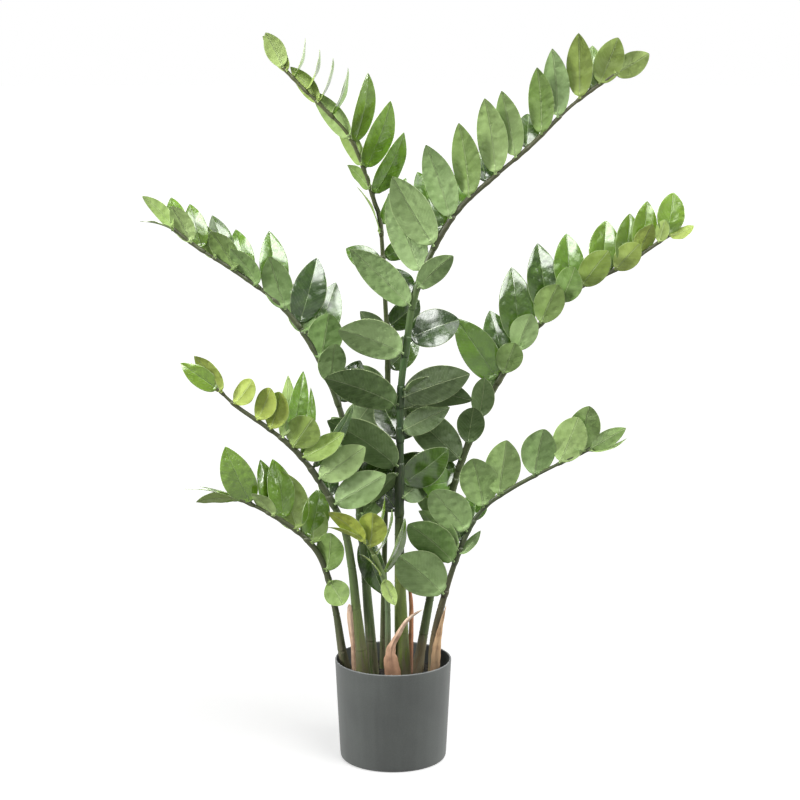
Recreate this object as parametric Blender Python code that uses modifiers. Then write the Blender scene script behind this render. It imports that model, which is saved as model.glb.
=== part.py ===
"""Potted ZZ plant: a plain tapered pot, its dark fill, eight stalks, dry sheaths and sleeved leaf sprays.

Metres, +Z up. The origin is the middle of the pot's underside and the front of the plant faces -Y.
Tables give millimetres, in the pose that the plant stands in.
"""

import math

import bmesh
import bpy
from mathutils import Matrix, Vector
from mathutils.bvhtree import BVHTree

MM = 0.001

# Pot
POT_HEIGHT = 0.134
POT_RIM_RADIUS = 0.0764
POT_BASE_RADIUS = 0.0701
POT_WALL = 0.002
POT_FLOOR = 0.003
POT_FOOT_ROUND = 0.004
RIM_BEAD = 0.0006
RIM_HEIGHT = 0.008
POT_SIDES = 40

# Fill, and how the stalks stand in it
FILL_DROP = 0.026
ROOT_DEPTH = 0.045
FIT_GAP = 0.0003
STEP_GAP = 0.0006

# Plant
STALK_RISE = 0.789
STALK_SPREAD = 0.632
STALK_GIRTH = 1.0
STALK_STEP = 0.034
STALK_SIDES = 8
SLEEVE_WALL = 0.0012
SLEEVE_END = 0.005
LEAF_SIZE = 1.0
LEAF_THICKNESS = 0.0014
LEAF_FOLD = 0.16
LEAF_BOW = 0.07
PETIOLE_WIDTH = 0.0036
LEAF_RINGS = 5
BLADE_START = 0.2
SHEATH_RINGS = 9
CLEARANCE = 0.0006

# The tables below are drawn for this fill height and this radius at the fill.
DRAWN_FILL_HEIGHT = 0.108
DRAWN_FILL_RADIUS = 0.0732

# Each stalk's route from the fill to its tip: right, back, up, diameter.
ROUTES = {
    "a": [(-14, 36, 108, 9), (-13, 38, 190, 8.5), (-9, 38, 392, 8), (-7, 36, 514, 7.5),
          (-10, 34, 600, 7), (-16, 28, 702, 6), (-24, 26, 733, 5.5), (-37, 22, 774, 5),
          (-56, 18, 817, 5), (-89, 14, 853, 4.5), (-112, 12, 875, 4.5), (-139, 10, 903, 4)],
    "b": [(13, -6, 108, 21), (10, -7, 202, 18), (8, -8, 302, 14), (9, -9, 402, 11.5),
          (10, -10, 492, 10.5), (18, -11, 557, 10.5), (28, -12, 618, 10), (54, -13, 681, 8.5),
          (85, -14, 728, 7), (124, -15, 764, 6), (174, -16, 807, 5.5), (224, -16, 856, 5),
          (280, -16, 897, 4)],
    "c": [(-26, 12, 108, 14.5), (-33, 13, 196, 14), (-41, 15, 296, 12), (-53, 16, 397, 10),
          (-75, 16, 482, 8.5), (-106, 15, 549, 8), (-145, 12, 601, 6.5), (-200, 8, 644, 5.5),
          (-249, 4, 676, 5), (-280, 0, 701, 4)],
    "d": [(-40, -16, 108, 18), (-43, -17, 155, 16), (-48, -19, 205, 14), (-54, -24, 266, 12.5),
          (-65, -30, 322, 11), (-94, -38, 380, 9), (-124, -46, 422, 7.5), (-159, -53, 453, 6),
          (-198, -58, 482, 5), (-221, -60, 505, 4)],
    "e": [(-59, 4, 108, 13), (-67, 3, 140, 12), (-76, 0, 200, 9.5), (-91, -7, 263, 8.5),
          (-114, -13, 299, 7.5), (-156, -21, 332, 6), (-205, -28, 358, 4)],
    "f": [(31, 22, 108, 20), (36, 22, 134, 13), (46, 24, 193, 12), (61, 27, 273, 11), (79, 29, 357, 10),
          (97, 29, 412, 9.5), (123, 28, 472, 9), (159, 24, 536, 8), (193, 20, 578, 7),
          (233, 16, 619, 6), (295, 12, 652, 5), (352, 8, 691, 4)],
    "g": [(52, -12, 108, 13), (54, -13, 162, 12), (67, -18, 224, 9.5), (90, -28, 297, 7),
          (115, -36, 343, 6), (150, -43, 371, 5.5), (192, -50, 396, 5), (251, -57, 427, 4)],
    "h": [(-7, -12, 108, 8), (-7, -20, 206, 8), (-11, -30, 246, 7.5), (-22, -40, 278, 6.5),
          (-35, -51, 306, 4)],
}

# Leaf sprays, tip first. Each leaf: height where it leaves the stalk, then its tip from there
# (right, forward, up), its width, and its roll (0 shows the upper side to the front, 180 the underside).
SPRAYS = {
    "a": [
        [(902, -22, 6, 42, 22, 168), (896, -32, -8, 44, 20, 150), (888, 14, -8, 48, 18, 72),
         (873, 17, 10, 50, 18, 76)],
        [(858, -36, -10, 44, 20, 160), (858, 18, 8, 54, 20, 72), (842, 20, -10, 58, 20, 66)],
        [(812, -48, -10, 60, 24, 160), (806, 17, 10, 88, 28, 40), (778, -32, -12, 55, 22, 150),
         (774, 32, 10, 86, 32, 30)],
        [(748, -28, -10, 30, 18, 145), (740, 38, 12, 80, 30, 35), (702, 30, -8, 60, 26, 30),
         (692, -29, -12, 58, 20, 95)],
        [(655, 50, -14, 36, 26, 20), (642, -46, -10, 26, 26, 15), (622, -24, -14, 22, 16, 150)],
        [(566, 40, -22, 34, 30, 10), (540, -34, -34, 44, 30, 150), (512, 36, -36, 40, 32, 20),
         (478, -50, -24, 30, 34, 160)],
        [(452, 54, -12, 16, 38, 170), (420, 44, -30, 36, 34, 10), (402, -40, -30, 40, 32, 20),
         (385, -44, -34, 28, 34, 170), (366, 56, -20, 20, 38, 10), (340, 30, -46, 24, 34, 10),
         (318, -34, -36, 34, 30, 10)],
    ],
    "b": [
        [(893, 42, 6, 26, 25, 180), (880, 22, 12, 56, 30, 172), (872, 4, -14, 54, 24, 10),
         (862, -4, 25, 79, 28, 170)],
        [(840, -8, 14, 84, 28, 170), (818, -6, 14, 82, 28, 165), (800, 4, -22, 42, 24, 10),
         (790, -18, 14, 82, 28, 168)],
        [(768, -14, 16, 94, 33, 168), (758, -8, -28, 36, 24, 10), (740, -13, 16, 92, 31, 165),
         (724, 0, -34, 42, 26, 10)],
        [(712, -30, 18, 92, 34, 168), (702, -2, -34, 34, 24, 10), (690, -26, -20, 78, 34, 15),
         (678, -50, 35, 89, 40, 180)],
        [(644, -39, 7, 100, 38, 176), (624, 42, 14, 44, 28, 200), (612, -20, -26, 34, 20, 20),
         (602, -74, 16, 74, 36, 165)],
        [(558, 62, -14, 24, 40, -20), (540, -80, 18, 32, 48, 155)],
        [(494, 88, -8, -16, 38, 200), (484, 84, 14, 32, 40, 178), (474, -92, 20, 38, 46, 158)],
        [(438, 60, -20, 26, 28, 170), (426, -24, -30, 46, 32, 20)],
        [(394, -88, 20, 64, 46, 162), (382, -32, 4, -40, 20, 150), (368, 58, -16, 44, 38, 10),
         (352, 40, -34, 26, 32, 170), (330, -29, -18, 48, 30, 5)],
    ],
    "c": [
        [(700, -40, -6, 40, 20, 150), (699, -42, 4, 12, 20, 98), (689, -18, -14, 48, 22, -5),
         (682, -24, 12, 46, 23, 177), (672, -17, -14, 56, 24, 10)],
        [(660, -39, -6, 50, 25, 162), (651, -22, -16, 62, 26, 25), (645, -30, 22, 51, 27, 165),
         (633, -17, -16, 61, 26, 10), (624, -33, 22, 49, 27, 150)],
        [(606, -10, -18, 86, 32, 10), (595, -20, 16, 68, 32, 185), (574, 22, -16, 84, 38, 10)],
        [(562, -14, -12, 64, 32, 174), (542, 26, -18, 82, 36, -5), (526, 10, 16, 62, 37, 180)],
        [(497, 4, 16, 54, 31, 199), (470, 26, -30, 50, 30, 10)],
        [(430, 34, -24, 44, 34, 170), (400, -26, -36, 46, 34, 160), (360, 41, -13, 41, 34, 10)],
        [(318, 33, -13, 55, 32, 170), (288, 26, 14, -74, 32, 20)],
    ],
    "d": [
        [(503, -45, 8, 36, 22, 15), (499, -34, 8, 47, 20, 165)],
        [(484, 23, 8, 31, 24, 150), (463, 17, 10, 41, 26, 150), (450, 12, 10, 48, 28, 155)],
        [(438, 6, -18, 76, 18, 165), (430, 16, -24, 88, 22, 20), (426, 25, 14, 38, 36, 175),
         (414, 10, -22, 83, 16, 50), (412, 52, 12, 32, 26, 145)],
        [(394, 50, -15, 79, 20, 45), (384, 58, 14, 42, 34, 172)],
        [(356, -6, -16, 30, 22, 0), (348, 64, 14, 40, 36, 174)],
    ],
    "e": [
        [(358, -63, -4, 10, 22, 96), (356, -51, 8, -2, 20, 140), (353, -31, -17, -4, 12, 60),
         (347, -32, 10, 76, 36, 0)],
        [(334, -13, -12, 66, 26, 40), (330, -28, 18, 33, 20, 150), (322, -15, -14, 77, 32, 30),
         (309, -27, -7, 76, 42, 174)],
        [(296, 14, -22, 62, 34, 30), (290, 4, -10, 46, 30, 185), (252, 4, 16, 54, 32, 159),
         (240, 18, 18, -28, 28, 174)],
    ],
    "f": [
        [(691, 30, 6, 14, 16, 130), (688, 10, -12, 54, 30, 8), (682, 7, 8, 28, 16, 150),
         (666, 10, -12, 66, 28, 10), (663, 18, 10, 40, 22, 195)],
        [(651, 10, -12, 64, 28, 10), (645, 29, 18, 34, 26, 170), (637, 6, -12, 68, 34, 6),
         (624, 33, 20, 46, 30, 170)],
        [(613, -2, -14, 75, 34, 6), (603, 16, 27, 47, 30, 155), (586, -12, -14, 90, 37, 6),
         (576, 21, 22, 52, 32, 174)],
        [(546, -10, -14, 99, 40, 6), (539, 17, 22, 50, 30, 175), (516, -18, -16, 72, 34, 10),
         (508, 15, 20, 42, 28, 175), (497, -54, 8, 82, 40, 12)],
        [(472, 10, -8, 46, 14, 150), (451, 8, 14, 54, 27, 159)],
        [(416, 8, 16, 50, 30, 174), (394, -68, 6, 68, 42, 178), (382, -55, -14, -26, 36, 20)],
        [(364, -40, 18, -2, 36, 5), (340, -39, -38, 33, 36, 10), (318, -40, -34, 30, 34, 170),
         (290, 36, -40, 28, 34, 10)],
    ],
    "g": [
        [(427, 44, 6, 26, 18, 165), (425, 48, -6, 14, 12, 100), (420, 10, 14, 62, 34, 178),
         (406, 22, 14, 60, 36, 163)],
        [(389, 12, 16, 62, 36, 180), (361, 10, 16, 74, 38, 178), (345, -14, 18, 66, 40, 174)],
        [(324, 6, -24, 36, 26, 10), (312, -44, 18, 56, 42, 165), (296, -10, -28, 28, 26, 10)],
        [(284, -50, -14, 48, 34, 138), (281, 26, -6, 28, 12, 140), (270, -58, 18, 53, 42, 160)],
        [(226, -56, 20, 54, 50, 174)],
    ],
    "h": [
        [(305, -46, 10, 40, 24, 150), (303, -50, -1, 20, 14, 120), (300, 20, -10, 60, 16, 75),
         (296, 3, 19, 48, 32, 165)],
        [(281, 20, 10, 64, 16, 76), (257, -26, 8, 29, 14, 100), (254, 26, -12, 72, 24, 60),
         (249, 14, 10, -32, 16, 160)],
    ],
}

# Dry sheaths round the stalks' feet, foot first: right, back, up. Then width, and the way each faces.
SHEATHS = {
    "front": ([(2, -24, 109), (-3, -28, 150), (7, -31, 175), (20, -33, 196), (39, -34, 210)],
              20, (0.1, -1.0, 0.2)),
    "back": ([(26, 4, 109), (27, 7, 160), (27, 7, 205), (23, 5, 238)], 10, (1.0, 0.5, 0.0)),
    "left": ([(-53, -20, 109), (-54, -21, 150), (-59, -23, 190), (-60, -25, 214)], 12, (-1.0, -0.35, 0.0)),
    "right": ([(55, -21, 109), (57, -22, 150), (62, -24, 182), (69, -27, 212)], 13, (0.1, -1.0, 0.1)),
}
SHEATH_THICKNESS = 0.0012
SHEATH_FOLD = 0.2

COLOURS = {
    "pot": ((0.098, 0.103, 0.109), 0.55),
    "fill": ((0.012, 0.012, 0.011), 0.95),
    "stalk": ((0.085, 0.17, 0.06), 0.5),
    "leaf": ((0.13, 0.25, 0.055), 0.4),
    "sheath": ((0.42, 0.2, 0.1), 0.8),
}


# Scene, materials and collections

def clearScene():
    for obj in list(bpy.data.objects):
        bpy.data.objects.remove(obj, do_unlink=True)


def newCollection(name, cutters=False):
    collection = bpy.data.collections.new(name)
    bpy.context.scene.collection.children.link(collection)
    collection.hide_render = cutters
    return collection


def newMaterial(name):
    colour, roughness = COLOURS[name]
    material = bpy.data.materials.new(name)
    material.use_nodes = True
    shader = material.node_tree.nodes["Principled BSDF"]
    shader.inputs["Base Color"].default_value = (*colour, 1)
    shader.inputs["Roughness"].default_value = roughness
    shader.inputs["Metallic"].default_value = 0
    return material


def addObject(name, mesh, collection, material=None):
    obj = bpy.data.objects.new(name, mesh)
    collection.objects.link(obj)
    if material:
        mesh.materials.append(material)
    return obj


def addCutter(name, mesh, cutters):
    obj = addObject(name, mesh, cutters)
    obj.hide_render = True
    obj.display_type = "WIRE"
    return obj


def addBoolean(obj, cutter, operation="DIFFERENCE", selfUnion=False):
    modifier = obj.modifiers.new(cutter.name, "BOOLEAN")
    modifier.operation = operation
    modifier.object = cutter
    modifier.solver = "EXACT"
    modifier.use_self = selfUnion


# Heights and radii that the pot, the fill and the stalks share

def fillTop():
    return POT_HEIGHT - FILL_DROP


def potRadiusAt(height):
    share = height / (POT_HEIGHT - RIM_HEIGHT)
    return POT_BASE_RADIUS + (POT_RIM_RADIUS - POT_BASE_RADIUS) * min(max(share, 0.0), 1.0)


def fillRadiusAt(height):
    return potRadiusAt(height) - POT_WALL - FIT_GAP


# Routes

class Route:
    """A smooth line through chosen points, with the radius at each, read by length or by height."""

    def __init__(self, points, radii, perSpan=24):
        self.points = []
        self.radii = []
        for i in range(len(points) - 1):
            before = points[max(i - 1, 0)]
            after = points[min(i + 2, len(points) - 1)]
            for step in range(perSpan):
                t = step / perSpan
                self.points.append(catmullRom(before, points[i], points[i + 1], after, t))
                self.radii.append(radii[i] + (radii[i + 1] - radii[i]) * t)
        self.points.append(points[-1].copy())
        self.radii.append(radii[-1])
        self.lengths = [0.0]
        for a, b in zip(self.points, self.points[1:]):
            self.lengths.append(self.lengths[-1] + (b - a).length)

    @property
    def length(self):
        return self.lengths[-1]

    def index(self, length):
        last = len(self.lengths) - 2
        i = 0
        while i < last and self.lengths[i + 1] < length:
            i += 1
        return i

    def read(self, values, length):
        i = self.index(length)
        t = (length - self.lengths[i]) / (self.lengths[i + 1] - self.lengths[i])
        t = min(max(t, 0.0), 1.0)
        return values[i] + (values[i + 1] - values[i]) * t

    def at(self, length):
        return self.read(self.points, length)

    def radius(self, length):
        return self.read(self.radii, length)

    def tangent(self, length):
        i = self.index(length)
        return (self.points[i + 1] - self.points[i]).normalized()

    def atHeight(self, height):
        """The length at which the line first reaches a height."""
        for i, point in enumerate(self.points):
            if point.z >= height:
                return self.lengths[i]
        return self.length


def catmullRom(a, b, c, d, t):
    """The smooth curve from b to c, with a before it and d after it."""
    slope = (c - a) * t
    square = (2 * a - 5 * b + 4 * c - d) * t * t
    cube = (3 * b - 3 * c + d - a) * t ** 3
    return 0.5 * (2 * b + slope + square + cube)


def plantScales():
    feet = {name: rows[0] for name, rows in ROUTES.items()}
    rise = max(row[2] for rows in ROUTES.values() for row in rows) * MM - DRAWN_FILL_HEIGHT
    reach = [row[0] * MM for rows in ROUTES.values() for row in rows]
    spread = max(reach) - min(reach)
    return feet, STALK_RISE / rise, STALK_SPREAD / spread, fillRadiusAt(fillTop()) / DRAWN_FILL_RADIUS


def placed(point, foot, rise, spread, footScale):
    """A table point in metres: the foot moves with the pot, and the rest keeps its reach from the foot."""
    x = foot[0] * footScale + (point[0] - foot[0]) * spread
    y = foot[1] * footScale + (point[1] - foot[1]) * spread
    z = fillTop() / MM + (point[2] - DRAWN_FILL_HEIGHT / MM) * rise
    return Vector((x, y, z)) * MM


def stalkRoutes():
    feet, rise, spread, footScale = plantScales()
    routes = {}
    for name, rows in ROUTES.items():
        points = [placed(row, feet[name], rise, spread, footScale) for row in rows]
        radii = [row[3] * MM / 2 * STALK_GIRTH for row in rows]
        routes[name] = Route(points, radii)
    return routes


def leafHeight(height):
    rise = plantScales()[1]
    return fillTop() + (height * MM - DRAWN_FILL_HEIGHT) * rise


# Meshes

def rodMesh(name, points, radii, sides=STALK_SIDES):
    """A round rod along points, as a welded mesh with its ends closed."""
    curve = bpy.data.curves.new(name, "CURVE")
    curve.dimensions = "3D"
    curve.bevel_depth = 1.0
    curve.bevel_resolution = (sides - 4) // 2
    curve.use_fill_caps = True
    spline = curve.splines.new("POLY")
    spline.points.add(len(points) - 1)
    for target, point, radius in zip(spline.points, points, radii):
        target.co = (*point, 1)
        target.radius = radius
    holder = bpy.data.objects.new(name, curve)
    bpy.context.scene.collection.objects.link(holder)
    graph = bpy.context.evaluated_depsgraph_get()
    mesh = bpy.data.meshes.new_from_object(holder.evaluated_get(graph))
    bpy.data.objects.remove(holder, do_unlink=True)
    bpy.data.curves.remove(curve)
    shape = bmesh.new()
    shape.from_mesh(mesh)
    bmesh.ops.remove_doubles(shape, verts=shape.verts, dist=1e-6)
    bmesh.ops.recalc_face_normals(shape, faces=shape.faces)
    shape.to_mesh(mesh)
    shape.free()
    mesh.name = name
    mesh.shade_smooth()
    mesh.set_sharp_from_angle(angle=math.radians(50))
    return mesh


def evenLengths(start, end, step):
    count = max(1, math.ceil((end - start) / step))
    return [start + (end - start) * i / count for i in range(count + 1)]


def stalkMesh(name, route, extra=0.0, endExtra=0.0):
    """The stalk from its root in the fill to its tip, or the same rod grown by extra."""
    lengths = evenLengths(0, route.length, STALK_STEP)
    points = [route.at(length) for length in lengths]
    radii = [route.radius(length) + extra for length in lengths]
    root = points[0] - Vector((0, 0, ROOT_DEPTH + endExtra))
    tip = points[-1] + route.tangent(route.length) * endExtra
    return rodMesh(name, [root, *points[:-1], tip], [radii[0], *radii])


class Blade:
    """A leaf or a sheath: a folded, bowed lens along a line of its own, from base to tip."""

    def __init__(self, spine, sides, normals, halfWidth, thickness, fold):
        self.spine = spine
        self.sides = sides
        self.normals = normals
        self.halfWidth = halfWidth
        self.thickness = thickness
        self.fold = fold

    def point(self, share, across, over):
        """across runs from edge to edge and over from the underside to the upper side, both -1 to 1."""
        half = self.halfWidth(share)
        normal = self.normals(share)
        lift = self.fold * half * abs(across) + over * self.thickness / 2
        return self.spine(share) + self.sides(share) * half * across + normal * lift

    def shape(self, rings, grow=0.0, start=0.0):
        """A UV sphere reshaped to the blade, from the share start to the tip."""
        shape = bmesh.new()
        bmesh.ops.create_uvsphere(shape, u_segments=4, v_segments=rings, radius=1)
        for vert in shape.verts:
            share = start + (1 - start) * (1 - math.acos(max(-1.0, min(1.0, vert.co.z))) / math.pi)
            around = math.hypot(vert.co.x, vert.co.y)
            across = vert.co.x / around if around > 1e-6 else 0.0
            over = vert.co.y / around if around > 1e-6 else 0.0
            centre = self.point(share, across, over)
            normal = self.normals(share)
            vert.co = centre + normal * over * grow + self.sides(share) * across * grow
        return shape


def leafOutline(share, width):
    """Half the leaf's width: a narrow petiole, then an oval blade that ends in a short point."""
    petiole = PETIOLE_WIDTH / 2
    start = 0.1
    if share < start:
        return petiole
    t = (share - start) / (1 - start)
    oval = math.sin(math.pi * t ** 0.92) ** 0.6
    return petiole * (1 - t) + (width / 2 - petiole * (1 - t)) * max(oval, 0.0)


def leafBlade(base, direction, length, width, roll):
    """direction is a unit vector; the upper side faces the front when roll is 0."""
    front = Vector((0, -1, 0))
    normal = front - direction * front.dot(direction)
    if normal.length < 0.05:
        normal = Vector((0, 0, 1)) - direction * direction.z
    normal = Matrix.Rotation(roll, 3, direction) @ normal.normalized()
    side = normal.cross(direction)

    def spine(share):
        bow = LEAF_BOW * length * 4 * share * (1 - share)
        return base + direction * length * share + normal * bow

    return Blade(spine, lambda share: side, lambda share: normal,
                 lambda share: leafOutline(share, width), LEAF_THICKNESS, LEAF_FOLD)


def sheathBlade(rows, width, away):
    _, rise, _, footScale = plantScales()
    points = [placed(row, row, rise, 1.0, footScale) for row in rows]
    line = Route(points, [1.0] * len(points))
    outward = Vector(away).normalized()

    def normal(share):
        tangent = line.tangent(line.length * share)
        return -(outward - tangent * outward.dot(tangent)).normalized()

    def side(share):
        return normal(share).cross(line.tangent(line.length * share))

    def half(share):
        return width * MM / 2 * (1 - share ** 2.2) ** 0.8 * min(1.0, 0.55 + share * 3)

    def spine(share):
        return line.at(line.length * share)

    return Blade(spine, side, normal, half, SHEATH_THICKNESS, SHEATH_FOLD)


# Finding a clear place for each leaf

def treeOf(shape):
    return BVHTree.FromBMesh(shape)


def treeOfMesh(mesh):
    shape = bmesh.new()
    shape.from_mesh(mesh)
    tree = treeOf(shape)
    shape.free()
    return tree


def boxOf(shape):
    low = Vector(map(min, zip(*(vert.co for vert in shape.verts))))
    high = Vector(map(max, zip(*(vert.co for vert in shape.verts))))
    return low, high


def boxesMeet(a, b):
    return all(a[0][i] <= b[1][i] and b[0][i] <= a[1][i] for i in range(3))


def turns():
    """Small turns first: sideways, towards the front, and about the leaf's own line, in degrees."""
    tries = [(swing, lean, roll) for swing in range(-40, 41, 8) for lean in range(-64, 65, 8)
             for roll in (-30, -15, 0, 15, 30)]
    return sorted(tries, key=lambda turn: (abs(turn[0]) * 1.3 + abs(turn[1]) + abs(turn[2]) * 0.5, turn))


class Crowd:
    """What the leaves keep clear of: the pot, stalks, sleeves, sheaths and earlier leaves."""

    def __init__(self, fixed, bare, stalks, sleeves):
        self.fixed = fixed
        self.bare = bare
        self.stalks = stalks
        self.sleeves = sleeves
        self.leaves = []
        self.turns = turns()

    def clear(self, whole, blade, stalk, spray):
        tree = treeOf(whole)
        if any(tree.overlap(other) for other in self.fixed):
            return False
        if any(tree.overlap(other) for name, other in self.stalks.items() if name != stalk):
            return False
        if any(tree.overlap(other) for name, other in self.sleeves[stalk].items() if name != spray):
            return False
        bladeTree = treeOf(blade)
        if bladeTree.overlap(self.bare[stalk]):
            return False
        box = boxOf(whole)
        for otherSpray, otherBox, otherWhole, otherBlade in self.leaves:
            if not boxesMeet(box, otherBox):
                continue
            if otherSpray == spray and bladeTree.overlap(otherBlade):
                return False
            if otherSpray != spray and tree.overlap(otherWhole):
                return False
        return True

    def add(self, whole, blade, spray):
        self.leaves.append((spray, boxOf(whole), treeOf(whole), treeOf(blade)))


def placeLeaf(route, row, crowd, stalk, spray):
    """The first small turn of the leaf that is clear of everything placed before it."""
    height, right, forward, up, width, roll = row
    length = route.atHeight(leafHeight(height))
    centre = route.at(length)
    tangent = route.tangent(length)
    reach = Vector((right, -forward, up)) * MM * LEAF_SIZE
    direction = reach.normalized()
    sideways = direction.cross(Vector((0, -1, 0))).normalized()
    facing = sideways.cross(direction)
    for swing, lean, twist in crowd.turns:
        turned = Matrix.Rotation(math.radians(lean), 3, sideways) @ direction
        turned = Matrix.Rotation(math.radians(swing), 3, facing) @ turned
        out = turned - tangent * turned.dot(tangent)
        if out.length < 0.05:
            continue
        base = centre + out.normalized() * route.radius(length) * 0.9
        blade = leafBlade(base, turned, reach.length, width * MM * LEAF_SIZE, math.radians(roll + twist))
        whole = blade.shape(LEAF_RINGS, CLEARANCE)
        outer = blade.shape(LEAF_RINGS, CLEARANCE, BLADE_START)
        if crowd.clear(whole, outer, stalk, spray):
            crowd.add(whole, outer, spray)
            return blade
    raise RuntimeError(f"no clear place for a leaf of stalk {stalk} at {height}")


# Pot and fill

def screwObject(name, profile, collection, material=None):
    mesh = bpy.data.meshes.new(name)
    mesh.from_pydata([(x, 0, z) for x, z in profile], [(i, i + 1) for i in range(len(profile) - 1)], [])
    obj = addObject(name, mesh, collection, material)
    screw = obj.modifiers.new("Turn", "SCREW")
    screw.steps = POT_SIDES
    screw.render_steps = POT_SIDES
    screw.use_merge_vertices = True
    screw.merge_threshold = 0.00001
    screw.use_smooth_shade = True
    return obj


def arcPoints(centre, radius, start, end, count):
    return [(centre[0] + radius * math.cos(math.radians(start + (end - start) * i / count)),
             centre[1] + radius * math.sin(math.radians(start + (end - start) * i / count)))
            for i in range(count + 1)]


def buildPot(collection):
    neck = POT_HEIGHT - RIM_HEIGHT
    outer = potRadiusAt(neck)
    inner = outer - POT_WALL
    beadRadius = (RIM_BEAD + POT_WALL) / 2
    bead = arcPoints((outer + RIM_BEAD - beadRadius, POT_HEIGHT - beadRadius), beadRadius, 180, 0, 4)
    foot = arcPoints((POT_BASE_RADIUS - POT_FOOT_ROUND, POT_FOOT_ROUND), POT_FOOT_ROUND, 0, -90, 3)
    profile = [(0, POT_FLOOR), (POT_BASE_RADIUS - POT_WALL, POT_FLOOR), (inner, neck), *bead,
               (outer + RIM_BEAD, neck + RIM_BEAD), (outer, neck), *foot, (0, 0)]
    return screwObject("pot", profile, collection, newMaterial("pot"))


def buildFill(collection, cutters, routes, material):
    top = fillTop()
    bottom = POT_FLOOR + FIT_GAP
    chamfer = 0.002
    profile = [(0, top), (fillRadiusAt(top) - chamfer, top), (fillRadiusAt(top - chamfer), top - chamfer),
               (POT_BASE_RADIUS - POT_WALL - FIT_GAP * 2, bottom), (0, bottom)]
    fill = screwObject("fill", profile, collection, material)
    for name, route in routes.items():
        foot = route.at(0)
        hole = route.radius(0) + STEP_GAP
        points = [foot - Vector((0, 0, ROOT_DEPTH + STEP_GAP)), foot + Vector((0, 0, 0.02))]
        addBoolean(fill, addCutter("hole_" + name, rodMesh("hole_" + name, points, [hole, hole]), cutters))
    return fill


# Stalks, sheaths and sprays

def sleeveSpans(route, sprays):
    """Where each spray's sleeve starts and ends: a margin past its leaves, and short of its neighbours."""
    lengths = [[route.atHeight(leafHeight(row[0])) for row in rows] for rows in sprays]
    spans = []
    for i, marks in enumerate(lengths):
        start = min(marks) - SLEEVE_END
        end = max(marks) + SLEEVE_END
        if i + 1 < len(lengths):
            start = max(start, (min(marks) + max(lengths[i + 1]) + STEP_GAP) / 2)
        if i > 0:
            end = min(end, (max(marks) + min(lengths[i - 1]) - STEP_GAP) / 2)
        spans.append((max(start, 0.002), min(end, route.length)))
    return spans


def sleeveMesh(name, route, span, atTip, extra=0.0):
    start = span[0] - extra
    end = span[1] + extra
    wall = (FIT_GAP + SLEEVE_WALL) / math.cos(math.pi / STALK_SIDES)
    marks = evenLengths(start, end, STALK_STEP)
    points = [route.at(mark) for mark in marks]
    radii = [route.radius(mark) / math.cos(math.pi / STALK_SIDES) + wall + extra for mark in marks]
    if atTip:
        points.append(points[-1] + route.tangent(route.length) * 0.003)
        radii.append(radii[-1] * 0.75)
    return rodMesh(name, points, radii)


def joinShapes(mesh, shapes):
    whole = bmesh.new()
    whole.from_mesh(mesh)
    for shape in shapes:
        piece = bpy.data.meshes.new("piece")
        shape.to_mesh(piece)
        shape.free()
        whole.from_mesh(piece)
        bpy.data.meshes.remove(piece)
    whole.to_mesh(mesh)
    whole.free()


def buildSpray(name, sleeve, blades, collection, bore, material):
    joinShapes(sleeve, [blade.shape(LEAF_RINGS) for blade in blades])
    spray = addObject(name, sleeve, collection, material)
    addBoolean(spray, bore, selfUnion=True)
    return spray


def buildPlant(collection, cutters, pot, routes):
    stalkMaterial = newMaterial("stalk")
    leafMaterial = newMaterial("leaf")
    sheathMaterial = newMaterial("sheath")
    bareTrees = {}
    stalkTrees = {}
    bores = {}
    for name, route in routes.items():
        addObject("stalk_" + name, stalkMesh("stalk_" + name, route), collection, stalkMaterial)
        bores[name] = addCutter("bore_" + name, stalkMesh("bore_" + name, route, FIT_GAP, FIT_GAP), cutters)
        bareTrees[name] = treeOfMesh(stalkMesh("bare_" + name, route))
        stalkTrees[name] = treeOfMesh(stalkMesh("guard_" + name, route, SLEEVE_WALL * 1.6 + FIT_GAP, 0.004))
    fixed = [treeOfMesh(pot)]
    for name, (rows, width, away) in SHEATHS.items():
        blade = sheathBlade(rows, width, away)
        shape = blade.shape(SHEATH_RINGS)
        mesh = bpy.data.meshes.new("sheath_" + name)
        shape.to_mesh(mesh)
        shape.free()
        addObject("sheath_" + name, mesh, collection, sheathMaterial)
        grown = blade.shape(SHEATH_RINGS, CLEARANCE)
        fixed.append(treeOf(grown))
        grown.free()
    spans = {}
    sleeves = {}
    for name, sprays in SPRAYS.items():
        sleeves[name] = {}
        for number, span in enumerate(sleeveSpans(routes[name], sprays), 1):
            spray = f"leaves_{name}{number}"
            spans[spray] = span
            guard = sleeveMesh("guard_" + spray, routes[name], span, number == 1, CLEARANCE)
            sleeves[name][spray] = treeOfMesh(guard)
    crowd = Crowd(fixed, bareTrees, stalkTrees, sleeves)
    for name, sprays in SPRAYS.items():
        for number, rows in enumerate(sprays, 1):
            spray = f"leaves_{name}{number}"
            blades = [placeLeaf(routes[name], row, crowd, name, spray) for row in rows]
            sleeve = sleeveMesh(spray, routes[name], spans[spray], number == 1)
            buildSpray(spray, sleeve, blades, collection, bores[name], leafMaterial)


def main():
    clearScene()
    collection = newCollection("Potted_ZZ_plant")
    cutters = newCollection("Cutters", cutters=True)
    routes = stalkRoutes()
    pot = buildPot(collection)
    buildFill(collection, cutters, routes, newMaterial("fill"))
    graph = bpy.context.evaluated_depsgraph_get()
    potMesh = bpy.data.meshes.new_from_object(pot.evaluated_get(graph))
    buildPlant(collection, cutters, potMesh, routes)
    bpy.data.meshes.remove(potMesh)


main()
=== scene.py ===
import math
import random

import bmesh
import bpy
from mathutils import Matrix, Vector, noise


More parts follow.
